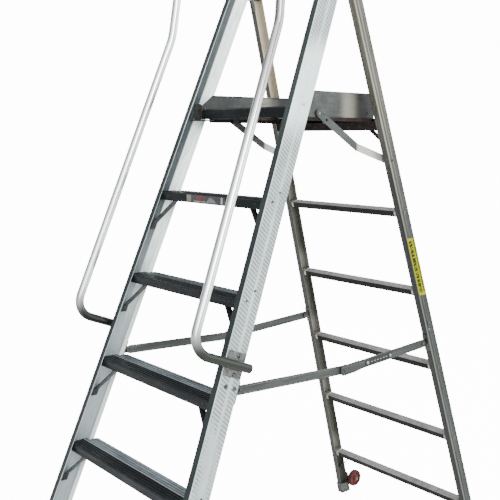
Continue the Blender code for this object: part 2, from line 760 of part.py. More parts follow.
def make_stay_brackets(word, side, rear_pivot):
    front, _, rear = stay_pivots()
    leaf = rectangle(-FLANGE + 0.001, STILE_DEPTH + GAP, -0.001, STILE_DEPTH + GAP + 0.003)
    mesh = front_prism([leaf], STAY_Z - 0.030, STAY_Z + 0.030, side)
    part = add_part("stay_front_bracket_" + word, mesh, "steel")
    root = (front[0] - STAY_STAND_OFF + 0.002, STAY_Z)
    ear = side_plate([band([root, front], 0.011, True)], STAY_OUTER_X, STAY_THICK, side)
    cutoff = front_prism([rectangle(-0.05, 0, 0.05, STILE_DEPTH + GAP)], STAY_Z - 0.05, STAY_Z + 0.05, side)
    add_tool(ear, part, "UNION")
    add_tool(cross_bar(front, PIVOT_RADIUS, 0.302, STAY_OUTER_X, side), part, "UNION")
    add_tool(cutoff, part, "DIFFERENCE")
    leaf = rectangle(-FLANGE + 0.001, LEG_DEPTH + GAP, -0.001, LEG_DEPTH + GAP + 0.003)
    mesh = rear_prism([leaf], STAY_Z - 0.030, STAY_Z + 0.030, side)
    part = add_part("stay_rear_bracket_" + word, mesh, "steel", rear_pivot)
    root = (rear[0] + STAY_STAND_OFF - 0.002, STAY_Z)
    ear = side_plate([band([root, rear], 0.011, True)], STAY_INNER_X, STAY_THICK, side)
    cutoff = rear_prism([rectangle(-0.05, 0, 0.05, LEG_DEPTH + GAP)], STAY_Z - 0.05, STAY_Z + 0.05, side)
    add_tool(ear, part, "UNION")
    add_tool(cross_bar(rear, PIVOT_RADIUS, STAY_INNER_X, 0.314, side), part, "UNION")
    add_tool(cutoff, part, "DIFFERENCE")


def headed_link(head, tail):
    """Outline of a bar with a wider round head at one end and a plain round end at the other."""
    run = math.atan2(tail[1] - head[1], tail[0] - head[0])
    neck = math.asin(STAY_HALF_WIDTH / STAY_HEAD_RADIUS)
    outline = arc(head, STAY_HEAD_RADIUS, run + neck, run + 2 * math.pi - neck, 18)
    return outline + arc(tail, STAY_HALF_WIDTH, run - math.pi / 2, run + math.pi / 2, 10)


def make_stay_links(word, side):
    front, knuckle, rear = stay_pivots()
    front_pivot = pivot_at("stay_front_axis_" + word, *front)
    outline = band([front, knuckle], STAY_HALF_WIDTH, True)
    mesh = side_plate([outline, circle(front, PIVOT_HOLE)], STAY_INNER_X, STAY_THICK, side)
    add_part("stay_front_link_" + word, mesh, "steel", front_pivot)
    rear_pivot = pivot_at("stay_rear_axis_" + word, *rear)
    mesh = side_plate([headed_link(knuckle, rear), circle(rear, PIVOT_HOLE)], STAY_OUTER_X, STAY_THICK, side)
    add_part("stay_rear_link_" + word, mesh, "steel", rear_pivot)


def make_ladder():
    rear = pivot_at("rear_frame_axis", *hinge_axis())
    platform = pivot_at("platform_axis", *PLATFORM_PIVOT)
    strut_axis = pivot_at("strut_axis", *STRUT_PATH[2])
    for word, side in SIDES:
        make_front_stile(word, side)
        make_front_shoe(word, side)
        make_platform_bracket(word, side)
        make_handrail(word, side)
        make_hinge_front_leaf(word, side)
        make_hinge_rear_leaf(word, side, rear)
        make_rear_leg(word, side, rear)
        make_rear_shoe(word, side, rear)
        make_strut_stud(word, side, rear)
        make_wheel_bracket(word, side, rear)
        make_wheel(word, side, rear)
        make_toe_board(word, side, platform)
        make_strut(word, side, strut_axis)
        make_stay_brackets(word, side, rear)
        make_stay_links(word, side)
    for number in range(1, TREAD_COUNT + 1):
        make_tread(number)
        for word, side in SIDES:
            make_tread_brace(number, word, side)
    for number in range(1, RUNG_COUNT + 1):
        make_rung(number, rear)
    make_head_rail()
    make_rear_beam(rear)
    make_deck(platform)


for old in list(bpy.data.objects):
    bpy.data.objects.remove(old)
ladder = bpy.data.collections.new("platform_step_ladder")
cutters = bpy.data.collections.new("cutters")
bpy.context.scene.collection.children.link(ladder)
bpy.context.scene.collection.children.link(cutters)
make_ladder()
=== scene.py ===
"""Looks of the platform step ladder: finishes, fittings, notices, light and camera."""

import json
import math

import bmesh
import bpy
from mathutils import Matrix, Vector


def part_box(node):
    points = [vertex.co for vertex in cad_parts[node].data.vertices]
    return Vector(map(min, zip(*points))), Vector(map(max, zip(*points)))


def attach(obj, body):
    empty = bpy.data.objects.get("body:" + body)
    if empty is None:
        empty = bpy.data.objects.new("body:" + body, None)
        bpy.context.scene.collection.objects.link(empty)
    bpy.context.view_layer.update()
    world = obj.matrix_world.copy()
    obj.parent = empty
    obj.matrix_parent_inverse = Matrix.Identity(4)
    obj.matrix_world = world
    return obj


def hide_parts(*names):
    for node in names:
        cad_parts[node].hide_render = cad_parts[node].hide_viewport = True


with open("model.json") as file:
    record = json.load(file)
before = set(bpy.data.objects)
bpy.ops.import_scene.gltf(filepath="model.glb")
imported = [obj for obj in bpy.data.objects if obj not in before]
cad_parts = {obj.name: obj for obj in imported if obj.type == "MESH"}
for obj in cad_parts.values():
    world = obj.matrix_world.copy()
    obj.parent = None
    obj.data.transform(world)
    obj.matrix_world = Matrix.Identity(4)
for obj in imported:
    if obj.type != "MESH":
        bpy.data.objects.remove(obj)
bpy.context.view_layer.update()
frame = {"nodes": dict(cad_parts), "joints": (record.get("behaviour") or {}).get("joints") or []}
scene = bpy.context.scene
NODES = frame["nodes"]
PIVOTS = {joint["name"]: Vector(joint["pos_m"]) for joint in frame["joints"]}
SIDES = (("left", -1), ("right", 1))
X_AXIS = Vector((1, 0, 0))

# Sections of the stiles and legs, and the frames' slopes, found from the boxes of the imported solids.
FLANGE = 0.0242
WALL = 0.003
STILE_DEPTH = 0.083
LEG_DEPTH = 0.044
stile_lo, stile_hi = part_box("front_stile_right")
leg_lo, leg_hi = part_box("rear_leg_right")
FRONT_LEAN = (stile_hi.y - STILE_DEPTH - stile_lo.y) / (stile_hi.z - stile_lo.z)
FRONT_TAPER = (stile_hi.x - stile_lo.x - FLANGE) / (stile_hi.z - stile_lo.z)
REAR_TAPER = (leg_hi.x - leg_lo.x - FLANGE) / (leg_hi.z - leg_lo.z)


def leg_lean():
    """Lean of the rear legs; their level depth depends on it, so it is found in a few rounds."""
    lean = 0.3
    for _ in range(12):
        level = LEG_DEPTH * math.sqrt(1 + lean * lean)
        lean = (leg_hi.y - leg_lo.y - level) / (leg_hi.z - leg_lo.z)
    return lean


REAR_LEAN = leg_lean()
FRONT_ANGLE = math.atan(FRONT_LEAN)
REAR_ANGLE = math.atan(REAR_LEAN)
LEG_LEVEL = LEG_DEPTH / math.cos(REAR_ANGLE)


def front_y(z):
    return stile_lo.y + FRONT_LEAN * (z - stile_lo.z)


def front_half(z):
    return stile_hi.x - FRONT_TAPER * (z - stile_lo.z)


def rear_y(z):
    return leg_hi.y - REAR_LEAN * (z - leg_lo.z)


def rear_half(z):
    return leg_hi.x - REAR_TAPER * (z - leg_lo.z)


def stile_point(side, u, v, z):
    """Point of a stile: u out from its web, v in from its front face."""
    return Vector((side * (front_half(z) + u), front_y(z) + v, z))


def leg_point(side, u, v, z):
    """Point of a rear leg: u out from its web, v in from its rear face."""
    return Vector((side * (rear_half(z) + u), rear_y(z) - v, z))


# Node graphs.

class Signal:
    """A node's output that can be added, subtracted, multiplied and divided."""

    def __init__(self, graph, socket):
        self.graph, self.socket = graph, socket

    def __add__(self, other):
        return self.graph.calc("ADD", self, other)

    def __sub__(self, other):
        return self.graph.calc("SUBTRACT", self, other)

    def __rsub__(self, other):
        return self.graph.calc("SUBTRACT", other, self)

    def __mul__(self, other):
        return self.graph.calc("MULTIPLY", self, other)

    def __truediv__(self, other):
        return self.graph.calc("DIVIDE", self, other)


class Graph:
    """A node tree under construction."""

    def __init__(self, tree):
        self.tree = tree

    def put(self, kind, settings=None, **sockets):
        node = self.tree.nodes.new(kind)
        for key, value in (settings or {}).items():
            setattr(node, key, value)
        for key, value in sockets.items():
            self.feed(node.inputs[key.replace("_", " ")], value)
        return node

    def feed(self, socket, value):
        if isinstance(value, Signal):
            value = value.socket
        if isinstance(value, bpy.types.NodeSocket):
            self.tree.links.new(value, socket)
        else:
            socket.default_value = value

    def split(self, vector):
        return [Signal(self, part) for part in self.put("ShaderNodeSeparateXYZ", Vector=vector).outputs]

    def calc(self, operation, a, b=0.0, clamp=False):
        node = self.put("ShaderNodeMath", {"operation": operation, "use_clamp": clamp})
        self.feed(node.inputs[0], a)
        self.feed(node.inputs[1], b)
        return Signal(self, node.outputs[0])

    def band(self, value, low, high, start=0.0, end=1.0):
        """Smooth step of value from start at low to end at high."""
        node = self.put("ShaderNodeMapRange", {"interpolation_type": "SMOOTHSTEP"}, Value=value,
                        From_Min=low, From_Max=high, To_Min=start, To_Max=end)
        return Signal(self, node.outputs[0])


class Paint(Graph):
    """A node material under construction."""

    def __init__(self, name, **constants):
        self.material = bpy.data.materials.new(name)
        self.material.use_nodes = True
        super().__init__(self.material.node_tree)
        self.shader = self.tree.nodes["Principled BSDF"]
        self.set(**constants)

    def set(self, **sockets):
        for key, value in sockets.items():
            self.feed(self.shader.inputs[key.replace("_", " ")], value)

    def coords(self, turn=(0, 0, 0), scale=(1, 1, 1), move=(0, 0, 0)):
        """Object coordinates, turned, then stretched and moved."""
        source = self.put("ShaderNodeTexCoord").outputs["Object"]
        turned = self.put("ShaderNodeMapping", Vector=source, Rotation=turn).outputs[0]
        return self.put("ShaderNodeMapping", Vector=turned, Scale=scale, Location=move).outputs[0]

    def normal(self):
        """Components of the surface normal in the object's own axes."""
        return self.split(self.put("ShaderNodeTexCoord").outputs["Normal"])

    def noise(self, vector, scale, detail=3.0, roughness=0.5):
        node = self.put("ShaderNodeTexNoise", Vector=vector, Scale=scale, Detail=detail,
                        Roughness=roughness)
        return Signal(self, node.outputs["Fac"])

    def mix(self, factor, a, b):
        node = self.put("ShaderNodeMix", {"data_type": "RGBA"})
        for index, value in ((0, factor), (6, a), (7, b)):
            if isinstance(value, tuple) and len(value) == 3:
                value = (*value, 1)
            self.feed(node.inputs[index], value)
        return node.outputs[2]

    def finish(self, colour, rough, height, strength, distance):
        """Sets the colour, the roughness and a bump of the height."""
        bump = self.put("ShaderNodeBump", Height=height, Strength=strength, Distance=distance)
        self.set(Base_Color=colour, Roughness=rough, Normal=bump.outputs[0])
        return self.material


LEAN_TURNS = {"front": (FRONT_ANGLE, 0, 0), "rear": (-REAR_ANGLE, 0, 0), "none": (0, 0, 0),
              "level": (math.radians(90), 0, 0)}


def extruded(name, turn, light, dark, rough, streak=260.0, metallic=0.75, darken=None):
    """Extruded metal: fine streaks along the member, cloudy stains, and optional dark faces."""
    paint = Paint(name, Metallic=metallic)
    band, mix = paint.band, paint.mix
    along = paint.coords(LEAN_TURNS[turn], (streak, streak, 2.2))
    streaks = paint.noise(along, 1.0, 2.0, 0.6)
    cloud = paint.noise(paint.coords(LEAN_TURNS[turn], (9, 9, 2.6)), 1.0, 4.0, 0.62)
    fine = paint.noise(paint.coords(), 420.0, 2.0, 0.6)
    tone = streaks * 0.45 + cloud * 0.55
    colour = mix(band(tone, 0.36, 0.62), dark, light)
    if darken:
        colour = darken(paint, colour)
    rough = band(tone, 0.3, 0.7, rough + 0.10, rough - 0.07)
    paint.finish(colour, rough, streaks + fine * 0.35, 0.22, 0.0004)
    return paint


# Edges of the two fine seams between the knurled lanes of a stile's web.
STILE_SEAMS = ((0.0388, 0.0412), (0.0440, 0.0464))


def stile_finish():
    """Stile: knurled diagonal marks in two lanes of the outer web, painted shade and painted highlights
    inside the channel, and painted shade on the front face.
    """
    paint = Paint("stile_finish", Metallic=0.30)
    band, mix = paint.band, paint.mix
    turn = LEAN_TURNS["front"]
    raw = paint.split(paint.coords())
    place = paint.split(paint.coords(turn))
    datum = stile_lo.y * math.cos(FRONT_ANGLE) - stile_lo.z * math.sin(FRONT_ANGLE)
    across = place[1] - datum
    normal = paint.normal()
    outward = normal[0] * paint.calc("SIGN", raw[0])
    web = band(outward, 0.80, 0.95)
    diagonal = (FRONT_ANGLE + math.radians(24), 0, 0)
    marks = paint.put("ShaderNodeTexWave", {"wave_type": "BANDS", "bands_direction": "Z"},
                      Vector=paint.coords(diagonal), Scale=29.0, Distortion=1.2, Detail=2.0)
    marks.inputs["Detail Scale"].default_value = 9.0
    front_lane = band(across, 0.003, 0.006) * band(across, 0.0385, 0.0360)
    rear_lane = band(across, 0.0465, 0.0495) * band(across, 0.0780, 0.0750)
    lanes = paint.calc("ADD", front_lane, rear_lane, True)
    patches = paint.noise(paint.coords(turn, (17, 17, 3.2)), 1.0, 4.0, 0.65)
    kept = band(patches + band(raw[2], 0.95, 0.45, 0.0, -0.16), 0.30, 0.44)
    # A near-white band high on the web, where the knurl fades and dark scuffs show.
    upper_band = band(raw[2], 1.60, 1.72) * band(raw[2], 1.98, 1.88)
    kept = kept * (1.0 - upper_band * 0.93)
    knurl = lanes * kept * web
    streaks = paint.noise(paint.coords(turn, (300, 300, 3)), 1.0, 2.0, 0.6)
    cloud = paint.noise(paint.coords(turn, (22, 22, 7)), 1.0, 4.0, 0.65)
    base = mix(band(cloud, 0.35, 0.65), (0.305, 0.362, 0.350), (0.425, 0.500, 0.480))
    base = mix(lanes * 0.45, base, (0.275, 0.300, 0.300))
    base = mix(upper_band * 0.6, base, (0.80, 0.93, 0.895))
    base = mix(band(streaks, 0.55, 0.75) * 0.22, base, (0.242, 0.264, 0.264))
    scuffs = paint.noise(paint.coords(turn, (70, 260, 40)), 1.0, 3.0, 0.7)
    base = mix(band(scuffs, 0.64, 0.70) * upper_band * 0.8, base, (0.110, 0.116, 0.116))
    shade = knurl * band(marks.outputs["Fac"], 0.55, 0.20)
    base = mix(shade * 0.80, base, (0.110, 0.124, 0.129))
    for low, high in STILE_SEAMS:
        seam = band(across, low, low + 0.0006) * band(across, high, high - 0.0006)
        base = mix(seam * 0.45, base, (0.16, 0.18, 0.18))
    # Painted shade on the front half of the channel's inside and a painted near-white highlight on its rear
    # half; lower down both fade into a mid grey.
    hollow = mix(band(across, 0.038, 0.044), (0.034, 0.046, 0.050), (0.88, 0.97, 0.93))
    low_inside_painted_light = mix(band(across, 0.058, 0.074), (0.253, 0.292, 0.297), (0.198, 0.220, 0.226))
    hollow = mix(band(raw[2], 1.46, 0.92), hollow, low_inside_painted_light)
    hollow = mix(band(streaks, 0.48, 0.62) * 0.35, hollow, (0.121, 0.138, 0.143))
    colour = mix(band(outward, -0.30, -0.70) * band(across, 0.0022, 0.0032), base, hollow)
    # Painted highlight: the inner face of the rear flange is made near white.
    back_lip_painted_highlight = band(across, 0.070, 0.073) * band(normal[1], -0.40, -0.80)
    colour = mix(back_lip_painted_highlight * 0.9, colour, (0.90, 0.98, 0.94))
    # Painted shade: the front face of the front flange is made near black.
    nose = band(normal[1], -0.45, -0.80) * band(across, 0.0022, 0.0014)
    dull = mix(cloud, (0.006, 0.008, 0.009), (0.017, 0.021, 0.022))
    colour = mix(nose * 0.96, colour, dull)
    rough = band(cloud, 0.3, 0.7, 0.50, 0.38) + knurl * 0.10
    height = knurl * marks.outputs["Fac"] + streaks * 0.15
    paint.set(Specular_IOR_Level=0.5 - nose * 0.45)
    return paint.finish(colour, rough, height, 0.5, 0.0011)


# Lengthwise painted highlight and shade lines on a leg's web, where its grooves catch the light: from and
# to, in from the rear face, and tone.
LEG_PAINTED_LINES = ((0.0135, 0.0190, (0.024, 0.025, 0.020)), (0.0200, 0.0265, (0.215, 0.210, 0.170)),
             (0.0270, 0.0335, (0.020, 0.020, 0.016)), (0.0340, 0.0430, (0.225, 0.220, 0.178)))


def leg_finish():
    """Leg: mill extrusion, warm at the top, darker lower down, with painted highlight and shade lines along
    its web, painted shade on its front face, and painted light inside and on the left leg.
    """
    paint = Paint("leg_finish", Metallic=0.45)
    band, mix = paint.band, paint.mix
    turn = LEAN_TURNS["rear"]
    raw = paint.split(paint.coords())
    place = paint.split(paint.coords(turn))
    datum = leg_hi.y * math.cos(REAR_ANGLE) + leg_lo.z * math.sin(REAR_ANGLE)
    depth = datum - place[1]
    normal = paint.normal()
    outward = normal[0] * paint.calc("SIGN", raw[0])
    streaks = paint.noise(paint.coords(turn, (260, 260, 2.4)), 1.0, 2.0, 0.6)
    cloud = paint.noise(paint.coords(turn, (26, 26, 4)), 1.0, 4.0, 0.65)
    tone = streaks * 0.5 + cloud * 0.5
    warm = mix(band(tone, 0.36, 0.62), (0.056, 0.053, 0.040), (0.112, 0.108, 0.086))
    # Darker towards the bottom.
    lower_tone = mix(band(tone, 0.36, 0.62), (0.015, 0.019, 0.017), (0.037, 0.042, 0.039))
    colour = mix(band(raw[2], 1.85, 1.25), warm, lower_tone)
    # Painted light: below 1.6 m the left leg takes its own olive copy of the leg colour, the same metal as
    # lit on that side.
    left = band(raw[0], 0.0, -0.01)
    left_leg_painted_light = mix(band(tone, 0.36, 0.62), (0.029, 0.028, 0.021), (0.067, 0.064, 0.050))
    colour = mix(left * band(raw[2], 1.9, 1.6), colour, left_leg_painted_light)
    web = band(outward, 0.80, 0.95)
    # Painted shade along the rear edge of the web and a painted highlight along its front edge.
    rear_edge_painted_shade = web * band(depth, 0.012, 0.006)
    colour = mix(rear_edge_painted_shade * 0.6, colour, (0.012, 0.019, 0.019))
    front_edge_painted_highlight = web * band(depth, 0.037, 0.041)
    colour = mix(front_edge_painted_highlight * 0.55, colour, (0.138, 0.138, 0.116))
    lip = band(normal[1], -0.40, -0.80) * band(depth, 0.010, 0.006)
    inside = paint.calc("MAXIMUM", band(outward, -0.30, -0.70), lip)
    # Painted shade: the front face is darkened, more towards the bottom.
    front = band(normal[1], -0.40, -0.80) * band(depth, 0.036, 0.041)
    lower = band(raw[2], 1.75, 1.45)
    colour = mix(front * (lower * 0.75), colour, (0.010, 0.011, 0.009))
    hollow = mix(band(tone, 0.36, 0.62), (0.045, 0.045, 0.035), (0.094, 0.094, 0.077))
    # Painted light: bright patches inside the leg just above each rung, as light thrown up off the rung
    # tops.
    painted_light_above_rungs = 0.0
    for number in range(1, 6):
        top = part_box("rung_%d" % number)[1].z
        step = band(raw[2], top - 0.004, top + 0.002) * band(raw[2], top + 0.10, top + 0.03)
        painted_light_above_rungs = paint.calc("ADD", painted_light_above_rungs, step, True)
    hollow = mix(painted_light_above_rungs * 0.85, hollow, (0.183, 0.179, 0.152))
    sunlit = left * band(raw[2], 1.50, 1.85)
    hollow = mix(sunlit * 0.9, hollow, (0.50, 0.43, 0.32))
    # Painted shade: the front face of the left leg is darkened further.
    colour = mix(front * left * 0.85, colour, (0.022, 0.022, 0.018))
    colour = mix(inside, colour, hollow)
    # Painted highlight and shade lines along the web, stronger higher up.
    for low, high, tint in LEG_PAINTED_LINES:
        soft = (high - low) * 0.35
        line = band(depth, low, low + soft) * band(depth, high, high - soft)
        colour = mix(line * web * band(raw[2], 1.25, 1.70, 0.25, 0.88), colour, tint)
    return paint.finish(colour, band(tone, 0.3, 0.7, 0.52, 0.36), streaks, 0.22, 0.0005)


def rung_finish():
    """Rung: its plain colour on top, with painted shade making its front and underside near black."""
    def faces(paint, colour):
        normal = paint.normal()
        # Painted shade: the front and the underside are made near black.
        front = paint.band(normal[1], -0.30, -0.70)
        under = paint.band(normal[2], -0.35, -0.75)
        dark = paint.calc("MAXIMUM", front, under)
        return paint.mix(dark * 0.94, colour, (0.003, 0.003, 0.003))
    light, dark = (0.125, 0.123, 0.118), (0.078, 0.077, 0.073)
    finish = extruded("rung_finish", "none", light, dark, 0.55, 90.0, 0.15, faces)
    finish.set(Specular_IOR_Level=0.1)
    return finish.material


def tread_finish(name, lift):
    """Dark ribbed section: lighter on the up-facing back of the top, with a painted highlight line along
    the tread, and scuffed along the nose.
    """
    paint = Paint(name, Metallic=0.10, Specular_IOR_Level=0.12)
    band, mix = paint.band, paint.mix
    place = paint.split(paint.coords())
    line = place[2] * FRONT_LEAN + stile_lo.y
    depth = place[1] - line
    cloud = paint.noise(paint.coords((0, 0, 0), (5, 26, 26)), 1.0, 5.0, 0.65)
    scratch = paint.noise(paint.coords((0, 0, 0.15), (7, 380, 380)), 1.0, 3.0, 0.7)
    grain = paint.noise(paint.coords(), 900.0, 2.0, 0.5)
    up = band(paint.normal()[2], 0.55, 0.90)
    face = mix(band(cloud, 0.35, 0.7), (0.003, 0.004, 0.005), (0.009, 0.011, 0.012))
    # Lighter colour for the up-facing faces behind the nose.
    upper_tone = mix(band(cloud, 0.3, 0.7), (0.045 + lift, 0.053 + lift, 0.059 + lift),
                       (0.125 + lift, 0.147 + lift, 0.160 + lift))
    worn = up * band(depth, 0.040, 0.050)
    colour = mix(worn, face, upper_tone)
    # Painted highlight: a light line along the top, part way back from the nose.
    edge = band(depth, 0.043, 0.045) * band(depth, 0.052, 0.050)
    colour = mix(edge * up * 0.7, colour, (0.20, 0.22, 0.23))
    colour = mix(band(scratch, 0.64, 0.72) * 0.16, colour, (0.16, 0.18, 0.19))
    height = scratch * 0.5 + grain * 0.25
    return paint.finish(colour, band(cloud, 0.3, 0.7, 0.48, 0.33), height, 0.25, 0.0005)


def board_finish():
    """Brushed toe board: dark, with a lighter band across its middle and near black at its rear end."""
    paint = Paint("board_finish", Metallic=0.65)
    band, mix = paint.band, paint.mix
    place = paint.split(paint.coords())
    brushed = paint.noise(paint.coords((0, 0, 0), (60, 9, 420)), 1.0, 3.0, 0.6)
    cloud = paint.noise(paint.coords((0, 0, 0), (20, 26, 30)), 1.0, 4.0, 0.6)
    # A lighter band across the middle of the board, and near black at its rear end.
    middle_band = band(place[1], 0.10, 0.15) * band(place[1], 0.22, 0.17)
    base = mix(band(cloud, 0.3, 0.7), (0.030, 0.033, 0.032), (0.052, 0.057, 0.053))
    base = mix(middle_band * 0.90, base, (0.185, 0.176, 0.145))
    base = mix(band(place[1], 0.215, 0.250) * 0.85, base, (0.007, 0.007, 0.007))
    base = mix(band(brushed, 0.5, 0.7) * 0.25, base, (0.022, 0.025, 0.025))
    return paint.finish(base, band(brushed, 0.3, 0.7, 0.30, 0.46), brushed, 0.15, 0.0004)


def rail_finish():
    """Drawn tube: bright, with faint draw lines, painted shade on the upper part of the right rail, and
    darker and rougher near its foot.
    """
    paint = Paint("rail_finish", Metallic=0.92)
    band, mix = paint.band, paint.mix
    place = paint.split(paint.coords())
    cloud = paint.noise(paint.coords(LEAN_TURNS["front"], (22, 22, 6)), 1.0, 4.0, 0.6)
    lines = paint.noise(paint.coords(LEAN_TURNS["front"], (420, 420, 3)), 1.0, 2.0, 0.6)
    foot = band(place[2], 1.16, 1.04)
    base = mix(band(cloud, 0.3, 0.7), (0.80, 0.83, 0.83), (0.95, 0.97, 0.96))
    # Painted shade: the upper part of the right rail is darkened.
    worn = band(place[2], 1.50, 1.85) * band(place[0], 0.0, 0.01)
    base = mix(worn * 0.85, base, (0.24, 0.24, 0.22))
    base = mix(foot, base, (0.034, 0.037, 0.032))
    rough = band(cloud, 0.3, 0.7, 0.24, 0.15) + foot * 0.14
    return paint.finish(base, rough, lines, 0.12, 0.0003)


def strut_finish():
    """Strut: dull and dark before its bend, rubbed bright behind it."""
    def rubbed(paint, colour):
        place = paint.split(paint.coords())
        behind = paint.band(place[1], 0.176, 0.190)
        return paint.mix(behind * 0.9, colour, (0.46, 0.455, 0.41))
    light, dark = (0.055, 0.064, 0.060), (0.026, 0.031, 0.029)
    return extruded("strut_finish", "level", light, dark, 0.46, 40.0, 0.6, rubbed).material


def plain_metal(name, light, dark, rough, metallic=0.85, scale=60.0):
    """Small fittings: plated metal with blotches and fine grain."""
    paint = Paint(name, Metallic=metallic)
    band, mix = paint.band, paint.mix
    cloud = paint.noise(paint.coords(), scale, 5.0, 0.65)
    grain = paint.noise(paint.coords(), scale * 9, 2.0, 0.6)
    colour = mix(band(cloud, 0.35, 0.68), dark, light)
    return paint.finish(colour, band(cloud, 0.3, 0.7, rough + 0.09, rough - 0.06), grain, 0.18, 0.0004)


def moulded(name, light, dark, rough, shine=0.5):
    """Rubber or plastic with a fine moulded grain and dust."""
    paint = Paint(name, Specular_IOR_Level=shine)
    band, mix = paint.band, paint.mix
    cloud = paint.noise(paint.coords(), 45.0, 5.0, 0.65)
    grain = paint.noise(paint.coords(), 700.0, 2.0, 0.6)
    colour = mix(band(cloud, 0.35, 0.7), dark, light)
    return paint.finish(colour, band(cloud, 0.3, 0.7, rough + 0.08, rough - 0.08), grain, 0.3, 0.0004)


def notice_finish(name, ground, print_tone, datum, start, width):
    """A worn notice: two columns of broken bars along its length in place of print."""
    paint = Paint(name, Specular_IOR_Level=0.08)
    band, mix = paint.band, paint.mix
    turn = LEAN_TURNS["rear"]
    place = paint.split(paint.coords(turn))
    depth = (datum - place[1]) / width
    wide = band(depth, 0.42, 0.47) * band(depth, 0.86, 0.81)
    thin = band(depth, 0.15, 0.19) * band(depth, 0.33, 0.29)
    run = place[2] - start
    coarse = paint.noise(paint.coords(turn, (0.0, 30.0, 260.0)), 1.0, 1.0)
    small = paint.noise(paint.coords(turn, (0.0, 90.0, 420.0), (0, 4.0, 0)), 1.0, 1.0)
    marks = wide * band(coarse, 0.40, 0.43)
    marks = paint.calc("ADD", marks, thin * band(small, 0.39, 0.43), True)
    ends = band(run, 0.008, 0.011) * band(run, 0.212, 0.209)
    marks = marks * ends
    wear = paint.noise(paint.coords(), 90.0, 5.0, 0.7)
    colour = mix(marks * 0.92, ground, print_tone)
    colour = mix(band(wear, 0.62, 0.74) * 0.3, colour, (0.12, 0.105, 0.02))
    return paint.finish(colour, band(wear, 0.3, 0.7, 0.55, 0.7), wear, 0.1, 0.0003)


M_STILE = stile_finish()
M_LEG = leg_finish()
M_RUNG = rung_finish()
M_FERRULE = plain_metal("ferrule_finish", (0.360, 0.354, 0.330), (0.228, 0.222, 0.198), 0.36)
M_TREAD = tread_finish("tread_finish", 0.0)
M_DECK = tread_finish("deck_finish", 0.004)
M_BOARD = board_finish()
M_RAIL = rail_finish()
M_LINK = extruded("link_finish", "level", (0.064, 0.070, 0.064), (0.034, 0.038, 0.034), 0.42, 120).material
M_STRUT = strut_finish()
M_CATCH = moulded("catch_finish", (0.008, 0.008, 0.008), (0.004, 0.004, 0.004), 0.80)
M_BRACKET = plain_metal("bracket_finish", (0.060, 0.062, 0.052), (0.026, 0.027, 0.023), 0.50, 0.5)
M_FITTING = plain_metal("fitting_finish", (0.151, 0.155, 0.148), (0.072, 0.076, 0.072), 0.36)
M_BOLT = plain_metal("bolt_finish", (0.135, 0.140, 0.140), (0.023, 0.025, 0.025), 0.26, 0.95, 160.0)
M_RIVET = plain_metal("rivet_finish", (0.340, 0.345, 0.335), (0.200, 0.205, 0.200), 0.26, 0.95, 110.0)
M_BRACE = plain_metal("brace_finish", (0.022, 0.024, 0.025), (0.009, 0.009, 0.010), 0.45, 0.5)
# Painted shade: the dark reddish brown of the shaded parts under the platform.
M_UNDERSIDE_SHADE = moulded("underside_painted_shade", (0.019, 0.012, 0.011), (0.007, 0.005, 0.004), 0.72, shine=0.12)
M_SHOE = moulded("shoe_finish", (0.085, 0.085, 0.077), (0.030, 0.030, 0.028), 0.68)
M_PLUG = moulded("plug_finish", (0.015, 0.015, 0.016), (0.007, 0.007, 0.007), 0.50)
M_WHEEL = moulded("wheel_finish", (0.105, 0.011, 0.007), (0.055, 0.005, 0.004), 0.50, shine=0.25)
M_TYRE = moulded("tyre_finish", (0.046, 0.008, 0.007), (0.020, 0.005, 0.004), 0.62, shine=0.20)

NODE_FINISH = (
    ("front_stile", M_STILE), ("front_shoe", M_SHOE), ("rear_shoe", M_SHOE), ("tread_brace", M_BRACE),
    ("tread_", M_TREAD), ("platform_bracket", M_BRACKET), ("handrail", M_RAIL), ("head_rail", M_RAIL),
    ("hinge_", M_FITTING), ("rear_leg", M_LEG), ("rung_", M_RUNG), ("foot_brace", M_FITTING),
    ("rear_beam", M_UNDERSIDE_SHADE), ("strut_stud", M_FITTING), ("wheel_bracket", M_FITTING), ("wheel_", M_WHEEL),
    ("toe_board", M_BOARD), ("deck", M_DECK), ("strut_", M_STRUT), ("stay_", M_LINK),
)


def finish_nodes():
    """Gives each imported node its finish."""
    for name, node in NODES.items():
        finish = next(material for start, material in NODE_FINISH if name.startswith(start))
        node.data.materials.clear()
        node.data.materials.append(finish)


# Mesh building. A solid is a list of closed rings of points.

SHARP_ANGLE = 34


def skin(work, rings):
    """Skins a solid and closes its ends; one whose last ring is its first needs no ends."""
    closed = rings[0] is rings[-1]
    made = [[work.verts.new(point) for point in ring] for ring in (rings[:-1] if closed else rings)]
    if closed:
        made.append(made[0])
    for first, second in zip(made, made[1:]):
        for index in range(len(first)):
            following = (index + 1) % len(first)
            work.faces.new((first[index], first[following], second[following], second[index]))
    if not closed:
        work.faces.new(made[0][::-1])
        work.faces.new(made[-1])


def piece(name, solids, material, body, slot, *replaced):
    """Turns solids into a piece that rides on a body."""
    work = bmesh.new()
    for rings in solids:
        skin(work, rings)
    bmesh.ops.recalc_face_normals(work, faces=work.faces)
    mesh = bpy.data.meshes.new(name)
    work.to_mesh(mesh)
    work.free()
    mesh.materials.append(material)
    mesh.shade_smooth()
    mesh.set_sharp_from_angle(angle=math.radians(SHARP_ANGLE))
    made = bpy.data.objects.new(name, mesh)
    scene.collection.objects.link(made)
    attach(made, body)
    if replaced:
        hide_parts(*replaced)


